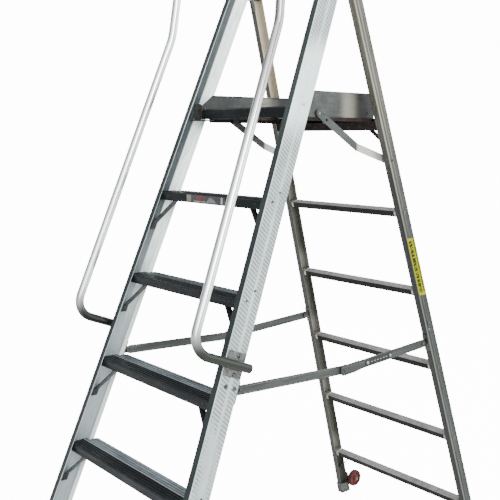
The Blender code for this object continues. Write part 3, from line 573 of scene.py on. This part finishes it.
def fillet(before, corner, after, radius, steps):
    """Arc that rounds a corner of a flat outline or path."""
    here = Vector(corner)
    if radius <= 0:
        return [tuple(here)]
    into = (here - Vector(before)).normalized()
    out = (Vector(after) - here).normalized()
    half = math.acos(max(-1, min(1, into.dot(out)))) / 2
    centre = here + (out - into).normalized() * (radius / math.cos(half))
    first = here - into * (radius * math.tan(half)) - centre
    turn = math.copysign(2 * half, into.x * out.y - into.y * out.x)
    points = []
    for step in range(steps + 1):
        c, s = math.cos(turn * step / steps), math.sin(turn * step / steps)
        points.append((centre.x + first.x * c - first.y * s, centre.y + first.x * s + first.y * c))
    return points


def rounded(points, radii, steps=4):
    """A closed outline with its corners rounded, each by its own radius."""
    result = []
    for index, radius in enumerate(radii):
        result += fillet(points[index - 1], points[index], points[(index + 1) % len(points)], radius, steps)
    return result


def box_outline(a0, b0, a1, b1, radius=0.002, steps=3):
    return rounded([(a0, b0), (a1, b0), (a1, b1), (a0, b1)], [radius] * 4, steps)


def channel(depth, level, grooves, outer_radius, lip_radius):
    """Rounded C section with shallow grooves along the outer face of its web."""
    corners = [(0, 0, outer_radius)]
    for centre, half_width, sink in grooves:
        corners += [(0, centre - half_width, 0), (-sink, centre - half_width * 0.45, 0),
                    (-sink, centre + half_width * 0.45, 0), (0, centre + half_width, 0)]
    corners += [(0, depth, outer_radius), (-FLANGE, depth, lip_radius), (-FLANGE, depth - WALL, lip_radius),
                (-WALL, depth - WALL, 0.0012), (-WALL, WALL, 0.0012), (-FLANGE, WALL, lip_radius),
                (-FLANGE, 0, lip_radius)]
    outline = rounded([(u, v) for u, v, _ in corners], [r for _, _, r in corners])
    return [(u, v * level / depth) for u, v in outline]


def ring(centre, side, other, radius, segments):
    """Circle of points about a centre, in the plane of two unit vectors."""
    turns = [2 * math.pi * index / segments for index in range(segments)]
    return [centre + (side * math.cos(turn) + other * math.sin(turn)) * radius for turn in turns]


def lathe(profile, origin, axis, segments=14):
    """Solid turned about an axis from (radius, height) pairs."""
    axis = Vector(axis).normalized()
    side = axis.orthogonal().normalized()
    return [ring(Vector(origin) + axis * height, side, axis.cross(side), radius, segments)
            for radius, height in profile]


def tube(path, radius, segments=28):
    """Round tube along a path, without twist."""
    side = (path[1] - path[0]).normalized().cross(X_AXIS).normalized()
    rings = []
    for index, point in enumerate(path):
        tangent = (path[min(index + 1, len(path) - 1)] - path[max(index - 1, 0)]).normalized()
        side = (side - tangent * side.dot(tangent)).normalized()
        rings.append(ring(point, side, tangent.cross(side), radius, segments))
    return rings


def slab(outline, place, thickness, bevel=0.0005):
    """Thin plate with softened edges: outline in (a, b), and place(a, b, height) puts it on the ladder."""
    centre = sum((Vector(point) for point in outline), Vector((0, 0))) / len(outline)
    softened = []
    for point in outline:
        run = Vector(point) - centre
        softened.append(centre + run * max(0.0, 1 - bevel * 1.4 / run.length))
    levels = ((0.0, outline), (thickness - bevel, outline), (thickness, softened))
    return [[place(a, b, height) for a, b in points] for height, points in levels]


def rivet(origin, axis, radius, height, skirt=0.0004):
    """Domed rivet head on a thin skirt."""
    turns = [step * math.pi / 12 for step in range(1, 6)]
    dome = [(radius * math.cos(turn), skirt + (height - skirt) * math.sin(turn)) for turn in turns]
    return lathe([(radius, -0.0006), (radius, skirt), *dome, (radius * 0.10, height)], origin, axis)


def low_head(origin, axis, radius, height):
    """Low flat-topped head."""
    profile = [(radius, -0.0005), (radius, height * 0.6), (radius * 0.86, height), (radius * 0.2, height)]
    return lathe(profile, origin, axis, 18)


def hex_nut(origin, axis, across, height, base=0.0012):
    """Washer and chamfered hexagon nut."""
    rim, radius, top = across * 0.80, across / math.sqrt(3), base + height
    washer = [(rim, -0.0004), (rim, 0.0010), (rim * 0.94, 0.0014), (rim * 0.3, 0.0014)]
    nut = [(radius, base), (radius, base + height * 0.82), (radius * 0.86, top), (radius * 0.30, top)]
    return [lathe(washer, origin, axis, 20), lathe(nut, origin, axis, 6)]


# Stiles, legs and shoes.

# Grooves along a web: centre, half width and sink.
STILE_GROOVES = ((0.0395, 0.0022, 0.0009), (0.0455, 0.0016, 0.0007))
LEG_GROOVES = ((0.0110, 0.0022, 0.0010), (0.0220, 0.0030, 0.0012), (0.0330, 0.0022, 0.0010))


def make_stiles():
    """Rounded channels of the stiles and legs."""
    stile = channel(STILE_DEPTH * math.cos(FRONT_ANGLE), STILE_DEPTH, STILE_GROOVES, 0.0022, 0.0012)
    leg = channel(LEG_DEPTH, LEG_LEVEL, LEG_GROOVES, 0.0018, 0.0010)
    for word, side in SIDES:
        for name, outline, point, ends, finish, place in (
                ("stile_", stile, stile_point, (stile_lo, stile_hi), M_STILE, "front"),
                ("leg_", leg, leg_point, (leg_lo, leg_hi), M_LEG, "rear")):
            rings = [[point(side, u, v, end.z) for u, v in outline] for end in ends]
            piece(name + word, [rings], finish, place + "_frame", "aluminium", place + "_" + name + word)


def make_plugs():
    """Plastic plugs in the open tops of the stiles and legs."""
    for word, side in SIDES:
        for name, point, top, depth, body, crown, inset in (
                ("stile_plug_", stile_point, stile_hi.z, STILE_DEPTH, "front_frame", 0.0030, 0.0015),
                ("leg_plug_", leg_point, leg_hi.z, LEG_LEVEL, "rear_frame", 0.0025, 0.0)):
            outline = box_outline(0.001 - FLANGE, 0.004, -WALL - 0.0006, depth - 0.004, 0.003)
            levels = ((-0.020, 0.0), (0.0015, 0.0), (crown, inset))
            rings = [[point(side, u, v + math.copysign(shift, depth / 2 - v), top + rise)
                      for u, v in outline] for rise, shift in levels]
            piece(name + word, [rings], M_PLUG, body, "dark_steel")


def shoe(point, side, depth, height):
    """Ribbed shoe round a member's foot, with the member's socket in it."""
    edge, socket, pitch, floor_z = 0.004, 0.0006, 0.006, 0.0185
    levels = [(0.0, -0.0012), (0.0012, 0.0)]
    z = 0.004
    while z < height - 0.010:
        levels += [(z, 0.0), (z + 0.0012, -0.0010), (z + 0.0026, -0.0010), (z + 0.0038, 0.0)]
        z += pitch
    levels += [(height - 0.002, 0.0), (height, -0.0012)]
    spans = [(z, edge + swell, 0.005 + swell) for z, swell in levels]
    spans += [(height, socket, 0.002), (floor_z, socket, 0.002)]
    return [[point(side, u, v, z) for u, v in box_outline(-FLANGE - e, -e, e, depth + e, radius, 4)]
            for z, e, radius in spans]


def make_shoes():
    """Ribbed shoes in place of the plain ones."""
    for word, side in SIDES:
        for place, point, depth in (("front", stile_point, STILE_DEPTH), ("rear", leg_point, LEG_LEVEL)):
            node = place + "_shoe_" + word
            solid = shoe(point, side, depth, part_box(node)[1].z)
            piece(place + "_shoe_ribbed_" + word, [solid], M_SHOE, place + "_frame", "shoe", node)


# Handrails.

RAIL_RADIUS = 0.014
RAIL_STAND_OFF = 0.020
RAIL_LEAD = 0.153
RAIL_FOOT_Z, RAIL_FOOT_BACK = 0.983, 0.042
RAIL_KINK_Z, RAIL_TOP_Z, RAIL_UPPER_LEAN, RAIL_HEAD_Z = 1.98, 2.625, 0.13, 2.22


def handrail_path():
    """Centre line of a handrail in (y, z), from its foot to its head."""
    along = Vector((FRONT_LEAN, 1)).normalized()
    across = Vector((along.y, -along.x))
    foot = Vector((front_y(RAIL_FOOT_Z) + STILE_DEPTH / 2, RAIL_FOOT_Z))
    start = foot + across * RAIL_FOOT_BACK
    knee = foot - across * (RAIL_LEAD + STILE_DEPTH / 2) * along.y
    kink = (front_y(RAIL_KINK_Z) - RAIL_LEAD, RAIL_KINK_Z)
    brow = (kink[0] + RAIL_UPPER_LEAN * (RAIL_TOP_Z - RAIL_KINK_Z), RAIL_TOP_Z)
    head_y = front_y(RAIL_HEAD_Z) + STILE_DEPTH / 2
    crown, end = (head_y, RAIL_TOP_Z), (head_y, RAIL_HEAD_Z - 0.035)
    return [tuple(start), *fillet(start, knee, kink, 0.065, 20), *fillet(knee, kink, brow, 0.20, 10),
            *fillet(kink, brow, crown, 0.095, 20), *fillet(brow, crown, end, 0.095, 20), end]


def saddle(side, z, length, cradle, spots):
    """Pressed saddle across a stile's web: a plate, a cradle that holds the tube, and two rivets."""
    along = Vector((0, FRONT_LEAN, 1)).normalized()
    across = Vector((0, along.z, -along.y))
    centre = Vector((0, front_y(z) + STILE_DEPTH / 2, z))

    def place(a, b, height):
        point = centre + across * a + along * b
        return Vector((side * (front_half(point.z) + 0.0004 + height), point.y, point.z))

    def over_plate(a, b, height):
        return place(a, b, height + 0.0030)
    a, b = cradle
    plates = [slab(box_outline(-0.034, -length / 2, 0.034, length / 2, 0.004), place, 0.0034, 0.0008),
              slab(box_outline(-a, -b, a, b, 0.004), over_plate, 0.0060, 0.0022)]
    return plates, [rivet(place(a, b, 0.0034), (side, 0, 0), 0.0058, 0.0040) for a, b in spots]


def make_handrails():
    """Tubes with their caps, and a saddle at the foot and at the head of each."""
    wide, narrow = RAIL_RADIUS * 1.02, RAIL_RADIUS * 0.82
    cap = [(RAIL_RADIUS * 0.86, -0.004), (wide, -0.0002), (wide, 0.0016), (narrow, 0.0030),
           (RAIL_RADIUS * 0.25, 0.0034)]
    for word, side in SIDES:
        path = [Vector((side * (front_half(z) + RAIL_STAND_OFF), y, z)) for y, z in handrail_path()]
        piece("handrail_tube_" + word, [tube(path, RAIL_RADIUS)], M_RAIL, "front_frame", "bright_tube",
              "handrail_" + word)
        caps = [lathe(cap, path[end], path[end] - path[inner], 28) for end, inner in ((0, 1), (-1, -2))]
        foot = saddle(side, RAIL_FOOT_Z, 0.076, (0.031, 0.018), ((0.005, 0.027), (0.005, -0.029)))
        head = saddle(side, RAIL_HEAD_Z, 0.070, (0.017, 0.029), ((-0.026, 0), (0.026, 0)))
        piece("handrail_caps_" + word, caps, M_PLUG, "front_frame", "dark_steel")
        piece("handrail_saddles_" + word, foot[0] + head[0], M_FITTING, "front_frame", "steel")
        piece("handrail_bolts_" + word, foot[1] + head[1], M_BOLT, "front_frame", "steel")


# Rivets and bolts on the members.

def make_stile_rivets():
    """Domed rivets through the outer web: a pair over the stay's bracket, and a pair at four treads."""
    spots = [(0.923, 0.0303, 0.0068), (0.910, 0.0668, 0.0068)]
    for number in (1, 2, 4, 5):
        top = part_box("tread_%d" % number)[1].z
        spots += [(top + 0.0205, 0.0484, 0.0042), (top - 0.005, 0.0254, 0.0042)]
    for word, side in SIDES:
        heads = [rivet(stile_point(side, 0, v, z), (side, 0, 0), radius, radius * 0.6)
                 for z, v, radius in spots]
        piece("stile_rivets_" + word, heads, M_BOLT, "front_frame", "steel")


def make_leg_rivets():
    """Rivets of the stay's bracket, and flush swaged rung ends, on the leg's outer web."""
    swage = [(0.0085, -0.0008), (0.0085, 0.0003), (0.0076, 0.0007), (0.0020, 0.0005)]
    for word, side in SIDES:
        heads = [rivet(leg_point(side, 0, depth * LEG_LEVEL / LEG_DEPTH, z), (side, 0, 0), 0.0070, 0.0036)
                 for z, depth in ((0.970, 0.0245), (0.946, 0.0285))]
        piece("leg_rivets_" + word, heads, M_BOLT, "rear_frame", "steel")
        levels = [sum(corner.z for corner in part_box("rung_%d" % number)) / 2 for number in range(1, 6)]
        swages = [lathe(swage, leg_point(side, 0, LEG_LEVEL / 2, z), (side, 0, 0), 20) for z in levels]
        piece("leg_swages_" + word, swages, M_LEG, "rear_frame", "aluminium")


def make_tread_rivets():
    """A flat rivet through the nose of each tread, near each end."""
    heads = []
    for number in range(1, 6):
        lo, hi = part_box("tread_%d" % number)
        for side in (-1, 1):
            spot = (side * (front_half(hi.z) - FLANGE - 0.034), lo.y, (lo.z + hi.z) / 2 + 0.001)
            heads.append(rivet(spot, (0, -1, 0), 0.0036, 0.0014))
    piece("tread_rivets", heads, M_BRACE, "front_frame", "steel")


def reach(box):
    """Greatest and least distance of a box from the middle plane."""
    ends = sorted(abs(corner.x) for corner in box)
    return ends[1], ends[0]


def make_pivot_bolts():
    """Heads at the pivots of the struts and the platform."""
    platform = PIVOTS["platform_tilt"]
    for word, side in SIDES:
        axis = (side, 0, 0)
        lo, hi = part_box("strut_" + word)
        outer, inner = reach((lo, hi))
        pivot = PIVOTS["strut_pivot_" + word]
        front = Vector((side * (inner + 0.003), lo.y + 0.0125, hi.z - 0.0125))
        heads = [low_head((side * outer, pivot.y, pivot.z), axis, 0.0075, 0.0030),
                 low_head(front, axis, 0.0055, 0.0018)]
        piece("strut_heads_" + word, heads, M_FITTING, "strut_" + word, "steel")
        spot = Vector((side * rear_half(pivot.z), pivot.y, pivot.z))
        nuts = [low_head(spot, axis, 0.0078, 0.0016),
                rivet(spot + X_AXIS * side * 0.0014, axis, 0.0046, 0.0026)]
        piece("strut_nuts_" + word, nuts, M_BOLT, "rear_frame", "steel")
        spot = (side * front_half(platform.z), platform.y, platform.z)
        head = low_head(spot, axis, 0.0060, 0.0012)
        piece("platform_heads_" + word, [head], M_RAIL, "front_frame", "steel")


def link_face(side, plane, start, end):
    """Placing function on the outer face of a link that lies between two points of its side view."""
    along = (end - start).normalized()
    across = Vector((0, -along.z, along.y))
    return lambda a, b, lift: start + along * a + across * b + X_AXIS * side * (plane + lift)


def stay_beads(place, first, last, height):
    """Two raised beads along a link."""
    return [slab(box_outline(first, b - 0.0013, last, b + 0.0013, 0.0009, 2), place, height, 0.0003)
            for b in (-0.0106, 0.0106)]


KNUCKLE_PLATE = ((-0.020, -0.018, 0.012), (0.052, -0.018, 0.012), (0.078, -0.0148, 0.003),
                 (0.078, 0.0148, 0.003), (0.066, 0.018, 0.008), (-0.020, 0.018, 0.012))
CATCH_START, CATCH_LENGTH = 0.100, 0.134


def make_stays():
    """Stays: beads along both links, knuckle heads, bracket bolts, and a catch plate on each rear link."""
    plate = rounded([(a, b) for a, b, _ in KNUCKLE_PLATE], [radius for _, _, radius in KNUCKLE_PLATE])
    for word, side in SIDES:
        axis = (side, 0, 0)
        front_link, rear_link = "stay_front_link_" + word, "stay_rear_link_" + word
        front_box, rear_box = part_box(front_link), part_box(rear_link)
        knuckle = Vector((0, front_box[1].y - 0.0148, front_box[0].z + 0.0148))
        front_pivot, rear_pivot = PIVOTS["stay_front_pivot_" + word], PIVOTS["stay_rear_pivot_" + word]
        head, tail = Vector((0, *front_pivot[1:])), Vector((0, *rear_pivot[1:]))
        on_front = link_face(side, reach(front_box)[0], head, knuckle)
        on_rear = link_face(side, reach(rear_box)[0], knuckle, tail)

        def on_catch(a, b, lift):
            return on_rear(CATCH_START + a, b, lift + 0.0002)

        def over_catch(a, b, lift):
            return on_catch(a, b, lift + 0.0014)
        beads = stay_beads(on_front, 0.022, (knuckle - head).length - 0.050, 0.0008)
        piece("stay_front_beads_" + word, beads, M_FITTING, front_link, "steel")
        beads = stay_beads(on_rear, 0.080, (tail - knuckle).length - 0.024, 0.0010)
        beads.append(slab(plate, on_rear, 0.0016, 0.0006))
        beads.append(low_head(on_rear(0, 0, 0.0014), axis, 0.0080, 0.0022))
        piece("stay_rear_beads_" + word, beads, M_LINK, rear_link, "steel")
        catch = slab(box_outline(0, -0.0084, CATCH_LENGTH, 0.0084, 0.003), on_catch, 0.0016, 0.0005)
        piece("catch_plate_" + word, [catch], M_CATCH, rear_link, "dark_steel")
        marks = [low_head(on_catch(a, 0, 0.0015), axis, 0.0060, 0.0022)
                 for a in (0.009, CATCH_LENGTH - 0.009)]
        for a in (0.026, 0.041, 0.056, 0.071, 0.086, 0.101):
            bar = box_outline(a, -0.0018, a + 0.0085, 0.0018, 0.0008, 2)
            marks.append(slab(bar, over_catch, 0.0010, 0.0003))
        piece("catch_rivets_" + word, marks, M_RIVET, rear_link, "steel")
        bolts = [low_head((side * (abs(front_pivot.x) + 0.0070), head.y, head.z), axis, 0.0070, 0.0030)]
        outward = (0, math.cos(FRONT_ANGLE), -math.sin(FRONT_ANGLE))
        for z in (head.z - 0.020, head.z + 0.020):
            spot = stile_point(side, -FLANGE * 0.55, STILE_DEPTH + 0.0033, z)
            bolts.append(rivet(spot, outward, 0.0045, 0.0024))
        piece("stay_front_bolts_" + word, bolts, M_BOLT, "front_frame", "steel")
        bolts = [low_head((side * (abs(rear_pivot.x) + 0.0035), tail.y, tail.z), axis, 0.0070, 0.0030)]
        outward = (0, -math.cos(REAR_ANGLE), -math.sin(REAR_ANGLE))
        for z in (tail.z - 0.020, tail.z + 0.020):
            spot = leg_point(side, -FLANGE * 0.55, LEG_LEVEL + 0.0034, z)
            bolts.append(rivet(spot, outward, 0.0042, 0.0022))
        piece("stay_rear_bolts_" + word, bolts, M_BOLT, "rear_frame", "steel")


# Platform, rungs and wheels.

def make_beam_pad():
    """Painted shadow: a black strip filling the gap between the rear beam and the platform."""
    lo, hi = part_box("rear_beam")
    deck_lo, deck_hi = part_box("deck")
    top = deck_lo.z - 0.0004
    half = min(hi.x, deck_hi.x) - 0.004
    radius = min(0.001, (top - hi.z) * 0.3)
    outline = box_outline(lo.y + 0.004, hi.z - 0.0002, hi.y - 0.012, top, radius)
    rings = [[Vector((x, y, z)) for y, z in outline] for x in (-half, half)]
    piece("beam_gap_shadow", [rings], M_PLUG, "rear_frame", "dark_steel")


def make_deck_shade_strips():
    """Painted shade: a dark strip under each side of the platform, where its side beam lies in shade."""
    lo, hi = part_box("deck")
    outline = box_outline(lo.y + 0.030, lo.z - 0.0120, hi.y - 0.016, lo.z + 0.0004, 0.001)
    for word, side in SIDES:
        def place(a, b, lift):
            return Vector((side * (hi.x - 0.0030 + lift), a, b))
        # Painted shade: this dark strip stands for the shaded side beam.
        skirt = slab(outline, place, 0.0014, 0.0004)
        piece("deck_shade_strip_" + word, [skirt], M_UNDERSIDE_SHADE, "platform", "dark_steel")


FERRULE_DEPTH, FERRULE_HEIGHT = 0.0332, 0.0222


def make_ferrules():
    """Bright sleeves over the rung ends, just inside the legs."""
    top = Vector((0, -math.sin(REAR_ANGLE), math.cos(REAR_ANGLE)))
    back = Vector((0, math.cos(REAR_ANGLE), math.sin(REAR_ANGLE)))
    for number in range(1, 6):
        lo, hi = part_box("rung_%d" % number)
        centre = Vector((0, (lo.y + hi.y) / 2, (lo.z + hi.z) / 2))
        inner = rear_half(hi.z) - FLANGE
        sleeves = []
        for side in (-1, 1):
            rings = []
            for x, grow in ((inner - 0.012, -0.0008), (inner - 0.0105, 0.0), (inner + 0.012, 0.0)):
                a, b = FERRULE_DEPTH / 2 + grow, FERRULE_HEIGHT / 2 + grow
                rings.append([X_AXIS * side * x + centre + back * u + top * v
                              for u, v in box_outline(-a, -b, a, b, 0.003)])
            sleeves.append(rings)
        piece("rung_ferrules_%d" % number, sleeves, M_FERRULE, "rear_frame", "aluminium")


def turned(profile, centre, axis, segments=40):
    """Ring-shaped solid turned about an axis from a closed profile."""
    rings = lathe(profile, centre, axis, segments)
    return rings + [rings[0]]


def make_wheels():
    """Moulded wheel with spokes between hub and rim, and a narrow tyre."""
    spoke = box_outline(0.0120, -0.0016, 0.0268, 0.0016, 0.0006)
    for word, side in SIDES:
        body = "wheel_" + word
        lo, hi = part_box(body)
        centre = (lo + hi) / 2
        radius, half = (hi.z - lo.z) / 2, (hi.x - lo.x) / 2
        axis = (side, 0, 0)
        face = [(0.0056, half), (0.0115, half), (0.0125, half - 0.001), (0.0125, half - 0.004),
                (0.0260, half - 0.0065), (0.0275, half - 0.001), (radius - 0.006, half - 0.001)]
        disc = turned(face + [(r, -offset) for r, offset in reversed(face)], centre, axis)
        piece("wheel_disc_" + word, [disc], M_WHEEL, body, "wheel", body)
        crown = [(radius - 0.005 + 0.005 * math.sin(math.pi * step / 8),
                  (half - 0.002) * math.cos(math.pi * step / 8)) for step in range(9)]
        seat = radius - 0.0062
        tyre = turned([(seat, half - 0.002), *crown, (seat, 0.002 - half)], centre, axis)
        piece("wheel_tyre_" + word, [tyre], M_TYRE, body, "wheel")
        spokes = []
        for index in range(6):
            angle = index * math.pi / 3
            out = Vector((0, math.cos(angle), math.sin(angle)))
            cross = Vector((0, -math.sin(angle), math.cos(angle)))
            for way in (-1, 1):
                def place(a, b, height):
                    return centre + out * a + cross * b + X_AXIS * way * (half - 0.0068 + height)
                spokes.append(slab(spoke, place, 0.0036, 0.0006))
        piece("wheel_spokes_" + word, spokes, M_WHEEL, body, "wheel")
        nut = hex_nut(centre - X_AXIS * side * (half + 0.0022), (-side, 0, 0), 0.011, 0.004)
        piece("wheel_nut_" + word, nut, M_FITTING, "rear_frame", "steel")


# Notices and toe boards.

LEG_NOTICE_LOW, LEG_NOTICE_HIGH = 1.077, 1.286


def make_leg_notice():
    """Yellow notice along the outer web of the right rear leg."""
    def place(a, z, height):
        return leg_point(1, 0.0003 + height, a * LEG_LEVEL / LEG_DEPTH, z)
    outline = box_outline(0.003, LEG_NOTICE_LOW, LEG_DEPTH - 0.003, LEG_NOTICE_HIGH, 0.003)
    datum = rear_y(0) * math.cos(REAR_ANGLE)
    start = LEG_NOTICE_LOW / math.cos(REAR_ANGLE) - (rear_y(0) - LEG_LEVEL / 2) * math.sin(REAR_ANGLE)
    yellow, black = (0.225, 0.232, 0.0005), (0.005, 0.005, 0.001)
    finish = notice_finish("leg_notice", yellow, black, datum, start, LEG_DEPTH)
    piece("leg_notice", [slab(outline, place, 0.0007, 0.0003)], finish, "rear_frame", "steel")


def make_tread_notice():
    """Small notice on the nose of the top tread, with plain coloured shapes and a painted highlight at its
    left end.
    """
    lo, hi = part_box("tread_5")
    start, width, height = -0.124, 0.212, 0.0250
    middle = (lo.z + hi.z) / 2 - 0.0005

    def place(a, b, lift):
        return Vector((start + a, lo.y - 0.0002 - lift, middle + b))
    oval = [(0.074 + 0.030 * math.cos(t * math.pi / 12), 0.0035 + 0.0055 * math.sin(t * math.pi / 12))
            for t in range(24)]
    wedge = rounded([(0.110, -0.0095), (0.166, -0.0095), (0.152, 0.0010), (0.132, 0.0085)], [0.001] * 4, 2)
    for name, outline, thickness, tone in (
            ("ground", box_outline(0, -height / 2, width, height / 2), 0.0006, (0.016, 0.016, 0.017)),
            # Painted highlight: a cream patch standing for a reflection on the nose.
            ("highlight_patch", box_outline(0.003, -0.0115, 0.028, 0.0115, 0.001), 0.0008, (0.14, 0.125, 0.090)),
            ("stripe", box_outline(0.042, -0.0092, 0.106, -0.0062, 0.001), 0.0008, (0.26, 0.25, 0.20)),
            ("spot", oval, 0.0008, (0.105, 0.007, 0.006)),
            ("wedge", wedge, 0.0008, (0.13, 0.14, 0.14)),
            ("bar", box_outline(0.190, -0.0105, 0.198, 0.0110, 0.001), 0.0008, (0.34, 0.35, 0.34))):
        finish = moulded("notice_" + name, tone, tuple(value * 0.7 for value in tone), 0.42)
        shape = slab(outline, place, thickness, 0.0003)
        piece("tread_notice_" + name, [shape], finish, "front_frame", "tread")


def make_board_lips():
    """Rolled lip along the top of each toe board, and two rivets near its ends."""
    for word, side in SIDES:
        lo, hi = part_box("toe_board_" + word)
        front, back = reach((lo, hi))
        slope = (front - back - 0.003) / (hi.y - lo.y)

        def inner(y):
            return front - 0.003 - slope * (y - lo.y)
        start, end = lo.y + 0.050, hi.y - 0.004
        path = [Vector((side * (inner(y) - 0.0012), y, hi.z - 0.0012))
                for y in (start, (start + end) / 2, end)]
        piece("toe_board_lip_" + word, [tube(path, 0.0017, 10)], M_BOARD, "platform", "aluminium")
        heads = [rivet((side * (inner(y) + 0.003), y, hi.z - 0.066), (side, 0, 0), 0.0048, 0.0010)
                 for y in (lo.y + 0.09, hi.y - 0.035)]
        piece("toe_board_rivets_" + word, heads, M_BOARD, "platform", "steel")


# Stage.

# Panels round the room: direction in degrees from +X towards +Y, full and outer half width, strength.
PANELS = ((-41, 12, 36, 4.8), (45, 16, 44, 4.2), (180, 8, 30, 0.6), (-92, 6, 22, 0.9), (112, 4, 18, 0.4))
WALLS = 0.24
CEILING = 3.6
# What the camera sees of the room, and of the floor.
SEEN = 14.0
FLOOR_GLOW = 12.4
AIM = Vector((0, 0, 1.2))
LIGHTS = (("key", (4.4, -1.9, 3.4), 2.0, 150), ("rear", (-2.4, 4.4, 3.0), 2.2, 56),
          ("top", (0.2, 0.3, 5.4), 3.0, 130))
CAMERA_PLACE = (2.0893, -1.8349, 1.6365)
CAMERA_TILT, CAMERA_TURN, CAMERA_LENS = -7.95, 0.8741, 57.69


def make_floor():
    work = bmesh.new()
    bmesh.ops.create_grid(work, x_segments=1, y_segments=1, size=60)
    mesh = bpy.data.meshes.new("floor")
    work.to_mesh(mesh)
    work.free()
    floor = bpy.data.objects.new("floor", mesh)
    floor.location = (0, 0, -0.0005)
    paint = Paint("floor_finish", Roughness=0.9, Emission_Color=(1, 1, 1, 1))
    grain = paint.noise(paint.coords(), 3.0, 3.0, 0.5)
    seen = paint.put("ShaderNodeLightPath").outputs["Is Camera Ray"]
    paint.set(Base_Color=paint.mix(grain, (0.60, 0.60, 0.60), (0.64, 0.64, 0.64)),
              Emission_Strength=paint.calc("MULTIPLY", seen, FLOOR_GLOW))
    mesh.materials.append(paint.material)
    scene.collection.objects.link(floor)


def make_world():
    """Near white to the camera; to the metal, soft panels round the room under a bright ceiling."""
    scene.world = bpy.data.worlds.new("studio")
    scene.world.use_nodes = True
    sky = Graph(scene.world.node_tree)
    sky.tree.nodes.clear()
    x, y, z = sky.split(sky.put("ShaderNodeTexCoord").outputs["Generated"])
    level = sky.calc("MAXIMUM", sky.calc("SQRT", x * x + y * y), 0.001)
    flat_x, flat_y = x / level, y / level
    walls = WALLS
    for direction, inner, outer, strength in PANELS:
        angle = math.radians(direction)
        facing = flat_x * math.cos(angle) + flat_y * math.sin(angle)
        low, high = math.cos(math.radians(outer)), math.cos(math.radians(inner))
        walls = sky.calc("ADD", walls, sky.band(facing, low, high, 0.0, strength))
    walls = walls * sky.band(z, 0.85, 0.45, 0.4, 1.0)
    total = walls + sky.band(z, 0.50, 0.92, 0.0, CEILING)
    room = sky.put("ShaderNodeBackground", Strength=total, Color=(0.97, 0.99, 1.0, 1))
    seen = sky.put("ShaderNodeBackground", Strength=SEEN, Color=(1, 1, 1, 1))
    blend = sky.put("ShaderNodeMixShader")
    is_seen = sky.put("ShaderNodeLightPath").outputs["Is Camera Ray"]
    for socket, value in zip(blend.inputs, (is_seen, room.outputs[0], seen.outputs[0])):
        sky.feed(socket, value)
    sky.put("ShaderNodeOutputWorld", Surface=blend.outputs[0])


def make_lights():
    for name, location, size, power in LIGHTS:
        data = bpy.data.lights.new(name, "AREA")
        data.shape = "RECTANGLE"
        data.size = data.size_y = size
        data.energy = power
        light = bpy.data.objects.new(name, data)
        light.location = location
        light.rotation_euler = (AIM - Vector(location)).to_track_quat("-Z", "Y").to_euler()
        scene.collection.objects.link(light)


def make_camera():
    data = bpy.data.cameras.new("camera")
    data.lens, data.sensor_width = CAMERA_LENS, 36.0
    data.clip_end = 200
    camera = bpy.data.objects.new("camera", data)
    camera.location = CAMERA_PLACE
    camera.rotation_euler = (math.radians(90 + CAMERA_TILT), 0, CAMERA_TURN)
    scene.collection.objects.link(camera)
    scene.camera = camera


make_camera()
finish_nodes()
make_stiles()
make_plugs()
make_shoes()
make_handrails()
make_stile_rivets()
make_leg_rivets()
make_tread_rivets()
make_pivot_bolts()
make_stays()
make_ferrules()
make_beam_pad()
make_deck_shade_strips()
make_wheels()
make_leg_notice()
make_tread_notice()
make_board_lips()
make_floor()
make_world()
make_lights()
